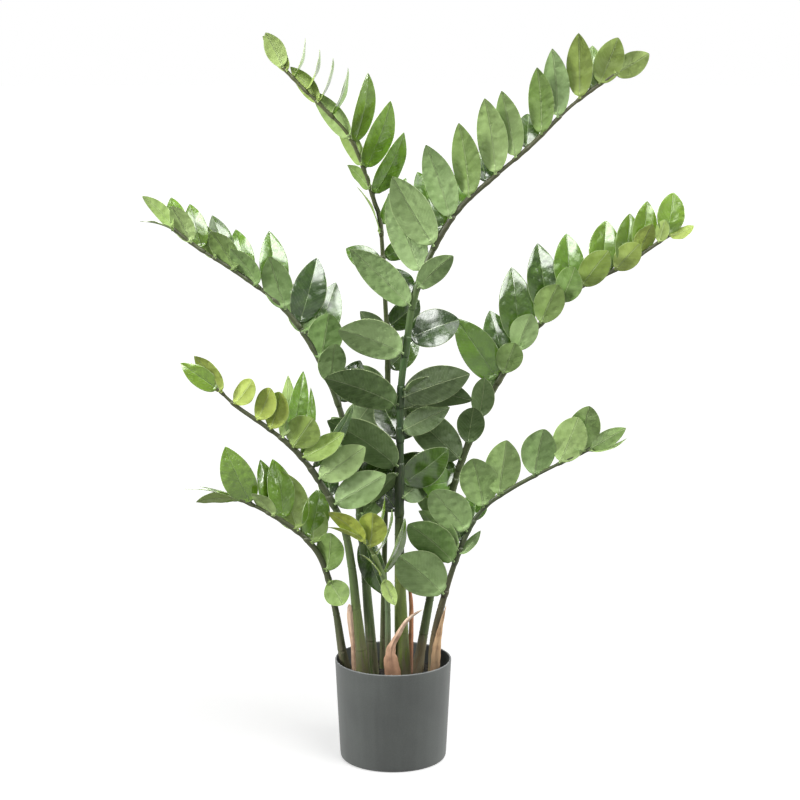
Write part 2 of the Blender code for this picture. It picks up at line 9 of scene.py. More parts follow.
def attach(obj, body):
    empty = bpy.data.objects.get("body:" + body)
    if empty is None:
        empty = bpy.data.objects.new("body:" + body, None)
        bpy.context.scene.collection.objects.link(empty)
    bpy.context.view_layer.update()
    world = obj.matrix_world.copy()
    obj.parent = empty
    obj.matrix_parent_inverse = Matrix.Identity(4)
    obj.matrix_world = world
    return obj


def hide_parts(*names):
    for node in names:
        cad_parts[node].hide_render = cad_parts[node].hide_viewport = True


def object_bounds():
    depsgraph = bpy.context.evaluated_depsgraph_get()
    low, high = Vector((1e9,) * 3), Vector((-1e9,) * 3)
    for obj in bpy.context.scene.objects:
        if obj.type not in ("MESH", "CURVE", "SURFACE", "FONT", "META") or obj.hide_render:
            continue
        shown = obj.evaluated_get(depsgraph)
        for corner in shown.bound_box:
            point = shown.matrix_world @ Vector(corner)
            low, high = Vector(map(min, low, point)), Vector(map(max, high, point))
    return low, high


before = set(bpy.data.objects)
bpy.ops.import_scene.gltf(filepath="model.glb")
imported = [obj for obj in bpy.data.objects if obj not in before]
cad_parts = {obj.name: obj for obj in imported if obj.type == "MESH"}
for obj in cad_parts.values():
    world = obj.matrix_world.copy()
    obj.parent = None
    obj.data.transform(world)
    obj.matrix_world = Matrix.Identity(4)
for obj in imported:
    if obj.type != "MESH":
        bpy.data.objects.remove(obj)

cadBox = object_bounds()
mm = 0.001
print("frame loaded:", len(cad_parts), "CAD nodes")


# helpers

def toLinear(hexColour):
    channels = [int(hexColour[i:i + 2], 16) / 255 for i in (1, 3, 5)]
    return tuple(c / 12.92 if c <= 0.04045 else ((c + 0.055) / 1.055) ** 2.4 for c in channels) + (1.0,)


def addNode(tree, kind, settings=None, inputs=None):
    # a socket given as an input is linked, anything else is set
    node = tree.nodes.new(kind)
    for name, value in (settings or {}).items():
        setattr(node, name, value)
    for name, value in (inputs or {}).items():
        if isinstance(value, bpy.types.NodeSocket):
            tree.links.new(value, node.inputs[name])
        else:
            node.inputs[name].default_value = value
    return node


def startMaterial(name):
    material = bpy.data.materials.new(name)
    material.use_nodes = True
    tree = material.node_tree
    return material, tree, tree.nodes["Principled BSDF"]


def perMetre(sizeMm):
    # texture scale that makes a pattern of this size in object space
    return 1 / (sizeMm * mm)


def smooth(value, low, high):
    t = min(max((value - low) / (high - low), 0.0), 1.0)
    return t * t * (3 - 2 * t)


def hump(value, width):
    return math.exp(-(value / width) ** 2)


def finishPiece(name, shape, materials, slot, *nodes):
    mesh = bpy.data.meshes.new(name)
    shape.to_mesh(mesh)
    shape.free()
    for material in materials:
        mesh.materials.append(material)
    mesh.shade_smooth()
    piece = bpy.data.objects.new(name, mesh)
    bpy.context.scene.collection.objects.link(piece)
    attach(piece, "root")
    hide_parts(*nodes)


# camera, floor and studio light

studio = {
    "cameraPlace": (0.009, -2.5, 0.916),
    "cameraDownDegrees": 9.91,
    "cameraLens": 88.5,
    "sensorWidth": 36,
    "viewDepth": 200,
    "floorRadius": 60.0,
    "floorGap": 0.0002,
    "floorColours": ("#F6F6F5", "#FAFAF9"),
    "floorGlow": 0.6,
    # how bright the white backdrop is to the camera, in reflections and as a light
    "skySeen": 1.0,
    "skyMirrored": 0.4,
    "skyLight": 0.28,
    "lightAim": (0.02, 0, 0.45),
    # each softbox: its place, width across and power
    "softboxes": {
        "besideCamera": ((-0.75, -2.7, 2.0), 0.7, 10),
        "frontLeft": ((-2.3, -0.8, 1.6), 0.9, 78),
        "frontRight": ((2.4, -0.1, 1.4), 0.9, 66),
        "overhead": ((-0.2, 0.2, 2.8), 1.0, 28),
        "behind": ((-0.7, 2.6, 1.7), 1.0, 22),
    },
    # a large white card above the camera, only seen mirrored in the glossy leaves
    "mirroredCard": ((0.2, -2.2, 2.15), 1.4, 80),
    # a broad even light from above that reaches the whole floor
    "ceilingTilt": (20, 24, 0),
    "ceilingAngle": 35,
    "ceilingStrength": 1.0,
}


def aimAt(thing, target):
    thing.rotation_euler = (Vector(target) - thing.location).to_track_quat("-Z", "Y").to_euler()


def addSoftLight(name, place, size, watts, receivers):
    light = bpy.data.lights.new(name, "AREA")
    light.shape = "DISK"
    light.size = size
    light.energy = watts
    holder = bpy.data.objects.new(name, light)
    holder.location = place
    aimAt(holder, studio["lightAim"])
    holder.light_linking.receiver_collection = receivers
    bpy.context.scene.collection.objects.link(holder)
    return holder


def buildStudio():
    scene = bpy.context.scene
    camera = bpy.data.objects.new("camera", bpy.data.cameras.new("camera"))
    camera.data.lens = studio["cameraLens"]
    camera.data.sensor_width = studio["sensorWidth"]
    camera.data.clip_end = studio["viewDepth"]
    camera.location = studio["cameraPlace"]
    camera.rotation_euler = (math.radians(90 - studio["cameraDownDegrees"]), 0, 0)
    scene.collection.objects.link(camera)
    scene.camera = camera
    scene.view_settings.view_transform = "Standard"

    # the backdrop is plain white where it is seen, and dimmer where it is mirrored or only lights
    world = bpy.data.worlds.new("studio")
    world.use_nodes = True
    scene.world = world
    tree = world.node_tree
    tree.nodes.clear()
    path = addNode(tree, "ShaderNodeLightPath")
    base = studio["skyLight"]
    mirrored = addNode(tree, "ShaderNodeMath", {"operation": "MULTIPLY_ADD"}, {
        0: path.outputs["Is Glossy Ray"], 1: studio["skyMirrored"] - base, 2: base})
    strength = addNode(tree, "ShaderNodeMath", {"operation": "MULTIPLY_ADD"}, {
        0: path.outputs["Is Camera Ray"], 1: studio["skySeen"] - base, 2: mirrored.outputs[0]})
    sky = addNode(tree, "ShaderNodeBackground", None, {
        "Color": (1, 1, 1, 1), "Strength": strength.outputs[0]})
    addNode(tree, "ShaderNodeOutputWorld", None, {"Surface": sky.outputs[0]})

    ceiling = bpy.data.lights.new("ceiling", "SUN")
    ceiling.angle = math.radians(studio["ceilingAngle"])
    ceiling.energy = studio["ceilingStrength"]
    holder = bpy.data.objects.new("ceiling", ceiling)
    holder.rotation_euler = [math.radians(a) for a in studio["ceilingTilt"]]
    scene.collection.objects.link(holder)

    # painted studio floor: matt and even, so that only the soft shadow shows on it
    paint, tree, shader = startMaterial("mattStudioPaint")
    grain = addNode(tree, "ShaderNodeTexNoise", None, {"Scale": perMetre(6), "Detail": 3})
    darker, lighter = studio["floorColours"]
    tone = addNode(tree, "ShaderNodeMixRGB", None, {
        "Fac": grain.outputs["Fac"], "Color1": toLinear(darker), "Color2": toLinear(lighter)})
    tree.links.new(tone.outputs["Color"], shader.inputs["Base Color"])
    shader.inputs["Roughness"].default_value = 0.9
    shader.inputs["Emission Color"].default_value = (1, 1, 1, 1)
    shader.inputs["Emission Strength"].default_value = studio["floorGlow"]
    shape = bmesh.new()
    bmesh.ops.create_circle(shape, cap_ends=True, segments=96, radius=studio["floorRadius"])
    mesh = bpy.data.meshes.new("floor")
    shape.to_mesh(mesh)
    shape.free()
    mesh.materials.append(paint)
    floor = bpy.data.objects.new("floor", mesh)
    floor.location.z = cadBox[0][2] - studio["floorGap"]
    floor.visible_diffuse = False
    scene.collection.objects.link(floor)

    # the softboxes are kept off the floor, so that it stays even with one faint shadow
    receivers = bpy.data.collections.new("softboxTargets")
    receivers.objects.link(floor)
    receivers.collection_objects[0].light_linking.link_state = "EXCLUDE"
    for name, (place, size, watts) in studio["softboxes"].items():
        addSoftLight(name, place, size, watts, receivers)
    card = addSoftLight("mirroredCard", *studio["mirroredCard"], receivers)
    card.visible_diffuse = False


buildStudio()
print("studio ready")


# routes, shared by the stalks and by the leaves on them

class Route:
    # a smooth line through chosen points in millimetres, with its radius along it;
    # lengths along it are in metres

    def __init__(self, rows, perSpan=24):
        knots = [Vector(row[:3]) * mm for row in rows]
        widths = [row[3] / 2 * mm if len(row) > 3 else mm for row in rows]
        self.points = []
        self.radii = []
        for i in range(len(knots) - 1):
            a = knots[max(i - 1, 0)]
            b = knots[i]
            c = knots[i + 1]
            d = knots[min(i + 2, len(knots) - 1)]
            for step in range(perSpan):
                t = step / perSpan
                curve = 2 * b + (c - a) * t + (2 * a - 5 * b + 4 * c - d) * t * t
                self.points.append((curve + (3 * b - 3 * c + d - a) * t ** 3) * 0.5)
                self.radii.append(widths[i] + (widths[i + 1] - widths[i]) * t)
        self.points.append(knots[-1])
        self.radii.append(widths[-1])
        self.lengths = [0.0]
        for a, b in zip(self.points, self.points[1:]):
            self.lengths.append(self.lengths[-1] + (b - a).length)
        self.length = self.lengths[-1]

    def index(self, length):
        last = len(self.lengths) - 2
        i = 0
        while i < last and self.lengths[i + 1] < length:
            i += 1
        return i

    def read(self, values, length):
        i = self.index(length)
        t = (length - self.lengths[i]) / (self.lengths[i + 1] - self.lengths[i])
        return values[i] + (values[i + 1] - values[i]) * min(max(t, 0.0), 1.0)

    def at(self, length):
        return self.read(self.points, length)

    def radius(self, length):
        return self.read(self.radii, length)

    def tangent(self, length):
        i = self.index(length)
        return (self.points[i + 1] - self.points[i]).normalized()

    def softTangent(self, length, reach=0.006):
        low = self.at(max(length - reach, 0))
        high = self.at(min(length + reach, self.length))
        return (high - low).normalized()

    def atHeight(self, height):
        for i, point in enumerate(self.points):
            if point.z >= height:
                return self.lengths[i]
        return self.length


def loft(shape, rings, layers):
    # rings of (place, note, note), joined into one closed skin; the notes go on the points
    rows = []
    for ring in rings:
        row = []
        for place, *notes in ring:
            vert = shape.verts.new(place)
            for layer, note in zip(layers, notes):
                vert[layer] = note
            row.append(vert)
        rows.append(row)
    count = len(rows[0])
    for low, high in zip(rows, rows[1:]):
        for j in range(count):
            k = (j + 1) % count
            shape.faces.new((low[j], high[j], high[k], low[k]))
    shape.faces.new(rows[0])
    shape.faces.new(reversed(rows[-1]))


def evenSteps(start, end, step):
    count = max(1, math.ceil((end - start) / step))
    return [start + (end - start) * i / count for i in range(count + 1)]


# pot and its fill

potForm = {
    "height": 134,
    "neckHeight": 126,
    "neckRadius": 76.4,
    "baseRadius": 70.1,
    "wall": 2.0,
    "floorThickness": 3,
    "footRound": 4,
    "rimRound": 1.3,
    "wallStart": 8,
    "wallStep": 6,
    "rimDepth": 4,
    "innerFoot": (2, 12),
    "innerCorner": 3,
    "sides": 160,
}


def turned(profile, sides):
    # a profile of (radius, height) in millimetres turned about the middle; its ends lie on the axis
    shape = bmesh.new()
    rings = []
    for radius, height in profile:
        if radius < 0.01:
            rings.append([shape.verts.new((0, 0, height * mm))])
            continue
        rings.append([shape.verts.new((radius * mm * math.cos(2 * math.pi * k / sides),
                                       radius * mm * math.sin(2 * math.pi * k / sides), height * mm))
                      for k in range(sides)])
    for low, high in zip(rings, rings[1:]):
        for k in range(sides):
            n = (k + 1) % sides
            corners = [low[k % len(low)], low[n % len(low)], high[n % len(high)], high[k % len(high)]]
            shape.faces.new(list(dict.fromkeys(corners)))
    return shape


def arc(centreX, centreZ, radius, start, end, count):
    angles = [math.radians(start + (end - start) * i / count) for i in range(count + 1)]
    return [(centreX + radius * math.cos(a), centreZ + radius * math.sin(a)) for a in angles]


def potOuterRadius(height):
    share = min(max(height / potForm["neckHeight"], 0), 1.06)
    return potForm["baseRadius"] + (potForm["neckRadius"] - potForm["baseRadius"]) * share


def mattMouldedPlastic():
    # Plastic moulded with a matt face: an even anthracite with a fine grain, soft mould streaks
    # down the wall and a painted highlight: a lighter grey along the top of the lip.
    material, tree, shader = startMaterial("mattMouldedPlastic")
    spot = addNode(tree, "ShaderNodeTexCoord")
    grain = addNode(tree, "ShaderNodeTexNoise", None, {
        "Vector": spot.outputs["Object"], "Scale": perMetre(1.6), "Detail": 4, "Roughness": 0.7})
    cloud = addNode(tree, "ShaderNodeTexNoise", None, {
        "Vector": spot.outputs["Object"], "Scale": perMetre(60), "Detail": 3})
    streakSpot = addNode(tree, "ShaderNodeMapping", None, {"Vector": spot.outputs["Object"],
                                                           "Scale": (1, 1, 0.06)})
    streak = addNode(tree, "ShaderNodeTexNoise", None, {
        "Vector": streakSpot.outputs[0], "Scale": perMetre(9), "Detail": 3})
    mixed = addNode(tree, "ShaderNodeMath", {"operation": "MULTIPLY_ADD"}, {
        0: streak.outputs["Fac"], 1: 0.5, 2: cloud.outputs["Fac"]})
    body = addNode(tree, "ShaderNodeMapRange", None, {
        "Value": mixed.outputs[0], "From Min": 0.45, "From Max": 1.05})
    wall = addNode(tree, "ShaderNodeMixRGB", None, {
        "Fac": body.outputs[0], "Color1": toLinear("#484B49"), "Color2": toLinear("#575B58")})
    grainRange = addNode(tree, "ShaderNodeMapRange", None, {
        "Value": grain.outputs["Fac"], "From Min": 0.3, "From Max": 0.7, "To Min": 0.9, "To Max": 1.1})
    grained = addNode(tree, "ShaderNodeVectorMath", {"operation": "SCALE"}, {
        "Vector": wall.outputs[0], "Scale": grainRange.outputs[0]})
    height = addNode(tree, "ShaderNodeSeparateXYZ", None, {"Vector": spot.outputs["Object"]})
    # the lighter grey on the top of the lip is a painted highlight, where the rim catches the light
    rimHighlight = addNode(tree, "ShaderNodeMapRange", {"interpolation_type": "SMOOTHSTEP"}, {
        "Value": height.outputs["Z"], "From Min": 0.1325, "From Max": 0.134, "To Min": 0.0, "To Max": 0.4})
    rimHighlighted = addNode(tree, "ShaderNodeMixRGB", None, {
        "Fac": rimHighlight.outputs[0], "Color1": grained.outputs[0], "Color2": toLinear("#8A8C8E")})
    tree.links.new(rimHighlighted.outputs[0], shader.inputs["Base Color"])
    rough = addNode(tree, "ShaderNodeMapRange", None, {
        "Value": cloud.outputs["Fac"], "To Min": 0.4, "To Max": 0.54})
    tree.links.new(rough.outputs[0], shader.inputs["Roughness"])
    shader.inputs["IOR"].default_value = 1.5
    bump = addNode(tree, "ShaderNodeBump", None, {
        "Strength": 0.35, "Distance": 0.15 * mm, "Height": grain.outputs["Fac"]})
    tree.links.new(bump.outputs[0], shader.inputs["Normal"])
    return material


def buildPot():
    f = potForm
    inner = f["neckRadius"] - f["wall"]
    top = f["height"] - f["rimRound"]
    outer = potOuterRadius(f["height"])
    floorRadius = f["baseRadius"] - f["wall"]
    footSpread, footHeight = f["innerFoot"]
    wall = [(potOuterRadius(z), z) for z in range(f["wallStart"], int(top), f["wallStep"])]
    profile = [(0, 0), *arc(f["baseRadius"] - f["footRound"], f["footRound"], f["footRound"], -90, 0, 8),
               *wall, *arc(outer - f["rimRound"], top, f["rimRound"], 0, 180, 10),
               (inner, f["neckHeight"] - f["rimDepth"]), (floorRadius + footSpread, footHeight),
               (floorRadius - f["innerCorner"], f["floorThickness"]), (0, f["floorThickness"])]
    shape = turned(profile, f["sides"])
    bmesh.ops.recalc_face_normals(shape, faces=shape.faces)
    finishPiece("castPot", shape, [mattMouldedPlastic()], "pot", "pot")


fillForm = {
    "top": 108,
    "radius": 73.0,
    "bottom": 4,
    "rings": 34,
    "sides": 120,
    "wallGap": 0.8,
    "lumpHeight": 1.6,
    "edgeWidth": 4,
    "crumbs": 620,
    "crumbSize": (1.2, 3.4),
    "crumbLift": 0.12,
    "crumbUnevenness": 0.5,
}


def darkPottingFill():
    # Potting fill with dark bark crumbs on top: very dark, rough and dull.
    material, tree, shader = startMaterial("darkPottingFill")
    spot = addNode(tree, "ShaderNodeTexCoord")
    grain = addNode(tree, "ShaderNodeTexNoise", None, {
        "Vector": spot.outputs["Object"], "Scale": perMetre(3), "Detail": 5, "Roughness": 0.7})
    tone = addNode(tree, "ShaderNodeMapRange", None, {
        "Value": grain.outputs["Fac"], "From Min": 0.35, "From Max": 0.7})
    colour = addNode(tree, "ShaderNodeMixRGB", None, {
        "Fac": tone.outputs[0], "Color1": toLinear("#16140F"), "Color2": toLinear("#352D22")})
    tree.links.new(colour.outputs[0], shader.inputs["Base Color"])
    shader.inputs["Roughness"].default_value = 0.92
    bump = addNode(tree, "ShaderNodeBump", None, {
        "Strength": 0.8, "Distance": 0.8 * mm, "Height": grain.outputs["Fac"]})
    tree.links.new(bump.outputs[0], shader.inputs["Normal"])
    return material


def buildFill():
    f = fillForm
    tops = [f["radius"] * i / f["rings"] for i in range(f["rings"] + 1)]
    profile = [(radius, f["top"]) for radius in tops]
    profile += [(potForm["baseRadius"] - potForm["wall"] - f["wallGap"], f["bottom"]), (0, f["bottom"])]
    shape = turned(profile, f["sides"])
    for vert in shape.verts:
        if vert.co.z > (f["top"] - 1) * mm:
            bumpy = noise.fractal(vert.co * 160, 0.6, 2.1, 4)
            edge = smooth(vert.co.xy.length, f["radius"] * mm, (f["radius"] - f["edgeWidth"]) * mm)
            vert.co.z += f["lumpHeight"] * mm * (bumpy - 0.2) * edge
    dice = random.Random("fill crumbs")
    for _ in range(f["crumbs"]):
        angle = dice.uniform(0, 2 * math.pi)
        reach = (f["radius"] - f["edgeWidth"]) * math.sqrt(dice.random()) * mm
        size = dice.uniform(*f["crumbSize"]) * mm
        height = f["top"] * mm + size * f["crumbLift"]
        spot = Vector((reach * math.cos(angle), reach * math.sin(angle), height))
        turn = Matrix.Rotation(dice.uniform(0, 6.3), 4, (dice.random(), dice.random(), dice.random() + 0.1))
        stretch = Matrix.Diagonal((dice.uniform(0.6, 1.6), dice.uniform(0.5, 1), dice.uniform(0.35, 0.7), 1))
        made = bmesh.ops.create_icosphere(shape, subdivisions=2, radius=size / 2,
                                          matrix=Matrix.Translation(spot) @ turn @ stretch)
        for vert in made["verts"]:
            vert.co += (vert.co - spot) * f["crumbUnevenness"] * noise.noise(vert.co * 900)
    bmesh.ops.recalc_face_normals(shape, faces=shape.faces)
    finishPiece("barkFill", shape, [darkPottingFill()], "fill", "fill")


buildPot()
buildFill()
print("pot and fill made")


# each stalk's route from the fill to its tip, in millimetres: right, back, up, diameter
stalkRows = {
    "a": [(-14, 36, 108, 9), (-13, 38, 190, 8.5), (-9, 38, 392, 8), (-7, 36, 514, 7.5),
          (-10, 34, 600, 7), (-16, 28, 702, 6), (-24, 26, 733, 5.5), (-37, 22, 774, 5),
          (-56, 18, 817, 5), (-89, 14, 853, 4.5), (-112, 12, 875, 4.5), (-139, 10, 903, 4)],
    "b": [(13, -6, 108, 21), (10, -7, 202, 18), (8, -8, 302, 14), (9, -9, 402, 11.5),
          (10, -10, 492, 10.5), (18, -11, 557, 10.5), (28, -12, 618, 10), (54, -13, 681, 8.5),
          (85, -14, 728, 7), (124, -15, 764, 6), (174, -16, 807, 5.5), (224, -16, 856, 5),
          (280, -16, 897, 4)],
    "c": [(-26, 12, 108, 14.5), (-33, 13, 196, 14), (-41, 15, 296, 12), (-53, 16, 397, 10),
          (-75, 16, 482, 8.5), (-106, 15, 549, 8), (-145, 12, 601, 6.5), (-200, 8, 644, 5.5),
          (-249, 4, 676, 5), (-280, 0, 701, 4)],
    "d": [(-40, -16, 108, 18), (-43, -17, 155, 16), (-48, -19, 205, 14), (-54, -24, 266, 12.5),
          (-65, -30, 322, 11), (-94, -38, 380, 9), (-124, -46, 422, 7.5), (-159, -53, 453, 6),
          (-198, -58, 482, 5), (-221, -60, 505, 4)],
    "e": [(-59, 4, 108, 13), (-67, 3, 140, 12), (-76, 0, 200, 9.5), (-91, -7, 263, 8.5),
          (-114, -13, 299, 7.5), (-156, -21, 332, 6), (-205, -28, 358, 4)],
    "f": [(31, 22, 108, 20), (36, 22, 134, 13), (46, 24, 193, 12), (61, 27, 273, 11), (79, 29, 357, 10),
          (97, 29, 412, 9.5), (123, 28, 472, 9), (159, 24, 536, 8), (193, 20, 578, 7),
          (233, 16, 619, 6), (295, 12, 652, 5), (352, 8, 691, 4)],
    "g": [(52, -12, 108, 13), (54, -13, 162, 12), (67, -18, 224, 9.5), (90, -28, 297, 7),
          (115, -36, 343, 6), (150, -43, 371, 5.5), (192, -50, 396, 5), (251, -57, 427, 4)],
    "h": [(-7, -12, 108, 8), (-7, -20, 206, 8), (-11, -30, 246, 7.5), (-22, -40, 278, 6.5),
          (-35, -51, 306, 4)],
}

# stalks: jointed stems that are thickest at the foot

stalkForm = {
    "sides": 20,
    "step": 4,
    "rootDepth": 40,
    "unevenness": 0.025,
    "slimming": 0.14,
    "slimmingHeights": (0.13, 0.26),
    "jointHeight": 0.22,
    "jointWidth": 1.3,
    "grooveDepth": 0.3,
    "grooveWidth": 0.8,
    "jointSteps": (-3, -1.6, -0.8, 0, 0.8, 1.6, 3),
    "tipGap": 0.5,
}

# heights of the rings on the bare stretches
stalkJoints = {
    "a": (150, 214, 286), "b": (168, 236, 300, 338, 376, 422), "c": (150, 232, 262, 322),
    "d": (150, 206, 262, 300), "e": (142, 190, 222), "f": (158, 204, 262), "g": (170, 205),
    "h": (154, 202, 236),
}

# colours up each stalk, as height and colour; stalk b is coloured much darker from 300 to 600 mm, which is
# painted shade where it runs among the leaves in the middle of the plant
stalkColours = {
    "a": ((108, "#4A582E"), (400, "#505F34"), (700, "#464F2A"), (900, "#5E653A")),
    # stalk b: the very dark greens at 350 to 543 mm are painted shade
    "b": ((108, "#566429"), (160, "#6B8033"), (250, "#6F823C"), (300, "#4E6230"), (350, "#152B0B"),
          (440, "#1D3B10"), (543, "#355622"), (600, "#4E6A32"), (700, "#404527"), (897, "#515532")),
    "c": ((108, "#43562C"), (300, "#4A6133"), (480, "#455230"), (700, "#535C38")),
    "d": ((108, "#646A34"), (150, "#637038"), (260, "#576E3C"), (380, "#434C2E"), (505, "#535A36")),
    "e": ((108, "#454A2E"), (170, "#4B5534"), (260, "#475030"), (358, "#535C36")),
    "f": ((108, "#77664C"), (142, "#655A3E"), (165, "#465A2E"), (360, "#415027"), (500, "#4D5632"),
          (690, "#575E3A")),
    "g": ((108, "#7D6847"), (155, "#6F5D40"), (195, "#4E4932"), (300, "#3B4A28"), (427, "#4C5A32")),
    "h": ((108, "#65764E"), (206, "#677C56"), (306, "#778C4A")),
}


def stalkColourAt(name, height):
    stops = stalkColours[name]
    low = stops[0]
    for high in stops[1:]:
        if height < high[0] * mm:
            share = smooth(height, low[0] * mm, high[0] * mm)
            return Vector(toLinear(low[1])[:3]).lerp(Vector(toLinear(high[1])[:3]), share)
        low = high
    return Vector(toLinear(low[1])[:3])


def stalkRing(route, length, extra, name):
    tangent = route.softTangent(length)
    right = Vector((0, 1, 0)).cross(tangent).normalized()
    back = tangent.cross(right)
    centre = route.at(length)
    slimmer = stalkForm["slimming"] * smooth(centre.z, *stalkForm["slimmingHeights"])
    radius = route.radius(length) * (1 - slimmer)
    tone = stalkColourAt(name, centre.z)
    ring = []
    for k in range(stalkForm["sides"]):
        angle = 2 * math.pi * k / stalkForm["sides"]
        out = right * math.cos(angle) + back * math.sin(angle)
        # long shallow flats and swells, as on a drawn stem
        swell = noise.noise(Vector((math.cos(angle), math.sin(angle), length * 14 + len(name) + ord(name))))
        size = radius * (1 + stalkForm["unevenness"] * swell) + extra
        note = Vector((math.cos(angle) * radius / mm, math.sin(angle) * radius / mm, length / mm))
        ring.append((centre + out * size, note, tone))
    return ring


def buildStalk(name, route):
    shape = bmesh.new()
    layers = [shape.verts.layers.float_vector.new(title) for title in ("stalkPlace", "stalkTone")]
    joints = [route.atHeight(height * mm) for height in stalkJoints[name]]
    f = stalkForm
    lengths = evenSteps(0, route.length - f["tipGap"] * mm, f["step"] * mm)
    for joint in joints:
        lengths += [joint + d * mm for d in f["jointSteps"]]
    lengths = sorted(set(lengths))
    root = stalkRing(route, 0, 0, name)
    drop = Vector((0, 0, -f["rootDepth"] * mm))
    rings = [[(place + drop, *notes) for place, *notes in root]]
    for length in lengths:
        extra = 0
        for joint in joints:
            away = length - joint
            # a raised ring with a narrow groove under it
            extra += f["jointHeight"] * mm * hump(away - 0.8 * mm, f["jointWidth"] * mm)
            extra -= f["grooveDepth"] * mm * hump(away + 1.2 * mm, f["grooveWidth"] * mm)
        rings.append(stalkRing(route, length, extra, name))
    loft(shape, rings, layers)
    bmesh.ops.recalc_face_normals(shape, faces=shape.faces)
    finishPiece("stem_" + name, shape, [stalkSkin], "stalk", "stalk_" + name)


def extrudedStemPlastic():
    # Polyethylene stem drawn over wire: a satin skin with fine lengthwise lines, small pale
    # scratches and darker flecks, coloured by hand darker towards the foot.
    material, tree, shader = startMaterial("extrudedPolyethyleneStem")
    place = addNode(tree, "ShaderNodeAttribute", {"attribute_name": "stalkPlace"})
    tone = addNode(tree, "ShaderNodeAttribute", {"attribute_name": "stalkTone"})
    lengthwise = addNode(tree, "ShaderNodeMapping", None, {"Vector": place.outputs["Vector"],
                                                           "Scale": (1.4, 1.4, 0.05)})
    lines = addNode(tree, "ShaderNodeTexNoise", None, {
        "Vector": lengthwise.outputs[0], "Scale": 1.0, "Detail": 4, "Roughness": 0.65})
    fleck = addNode(tree, "ShaderNodeTexNoise", None, {
        "Vector": place.outputs["Vector"], "Scale": 0.55, "Detail": 4, "Roughness": 0.7})
    lineRange = addNode(tree, "ShaderNodeMapRange", None, {
        "Value": lines.outputs["Fac"], "From Min": 0.3, "From Max": 0.7, "To Min": 0.78, "To Max": 1.2})
    lined = addNode(tree, "ShaderNodeVectorMath", {"operation": "SCALE"}, {
        "Vector": tone.outputs["Vector"], "Scale": lineRange.outputs[0]})
    # bleached streaks, and woody grey-brown patches that gather at the foot
    paleStreak = addNode(tree, "ShaderNodeMapRange", None, {
        "Value": lines.outputs["Fac"], "From Min": 0.58, "From Max": 0.74, "To Min": 0.0, "To Max": 0.28})
    streaked = addNode(tree, "ShaderNodeMixRGB", None, {
        "Fac": paleStreak.outputs[0], "Color1": lined.outputs[0], "Color2": toLinear("#A3A77C")})
    spot = addNode(tree, "ShaderNodeTexCoord")
    height = addNode(tree, "ShaderNodeSeparateXYZ", None, {"Vector": spot.outputs["Object"]})
    footward = addNode(tree, "ShaderNodeMapRange", {"interpolation_type": "SMOOTHSTEP"}, {
        "Value": height.outputs["Z"], "From Min": 0.13, "From Max": 0.2, "To Min": 0.9, "To Max": 0.15})
    patchSpot = addNode(tree, "ShaderNodeMapping", None, {"Vector": place.outputs["Vector"],
                                                          "Scale": (0.3, 0.3, 0.035)})
    patch = addNode(tree, "ShaderNodeTexNoise", None, {
        "Vector": patchSpot.outputs[0], "Scale": 1.0, "Detail": 4, "Roughness": 0.7})
    woodyRange = addNode(tree, "ShaderNodeMapRange", None, {
        "Value": patch.outputs["Fac"], "From Min": 0.4, "From Max": 0.56})
    woody = addNode(tree, "ShaderNodeMath", {"operation": "MULTIPLY"}, {
        0: woodyRange.outputs[0], 1: footward.outputs[0]})
    footed = addNode(tree, "ShaderNodeMixRGB", None, {
        "Fac": woody.outputs[0], "Color1": streaked.outputs[0], "Color2": toLinear("#6B6550")})
    darkFleck = addNode(tree, "ShaderNodeMapRange", None, {
        "Value": fleck.outputs["Fac"], "From Min": 0.56, "From Max": 0.72, "To Min": 0.0, "To Max": 0.5})
    skin = addNode(tree, "ShaderNodeMixRGB", None, {
        "Fac": darkFleck.outputs[0], "Color1": footed.outputs[0], "Color2": toLinear("#39402C")})
    tree.links.new(skin.outputs[0], shader.inputs["Base Color"])
    rough = addNode(tree, "ShaderNodeMapRange", None, {
        "Value": lines.outputs["Fac"], "To Min": 0.32, "To Max": 0.52})
    tree.links.new(rough.outputs[0], shader.inputs["Roughness"])
    shader.inputs["Specular IOR Level"].default_value = 0.35
    shader.inputs["IOR"].default_value = 1.51
    bump = addNode(tree, "ShaderNodeBump", None, {
        "Strength": 0.5, "Distance": 0.3 * mm, "Height": lines.outputs["Fac"]})
    tree.links.new(bump.outputs[0], shader.inputs["Normal"])
    return material


stalkSkin = extrudedStemPlastic()
routes = {name: Route(rows) for name, rows in stalkRows.items()}
for name, route in routes.items():
    buildStalk(name, route)
print("stalks made:", len(routes))


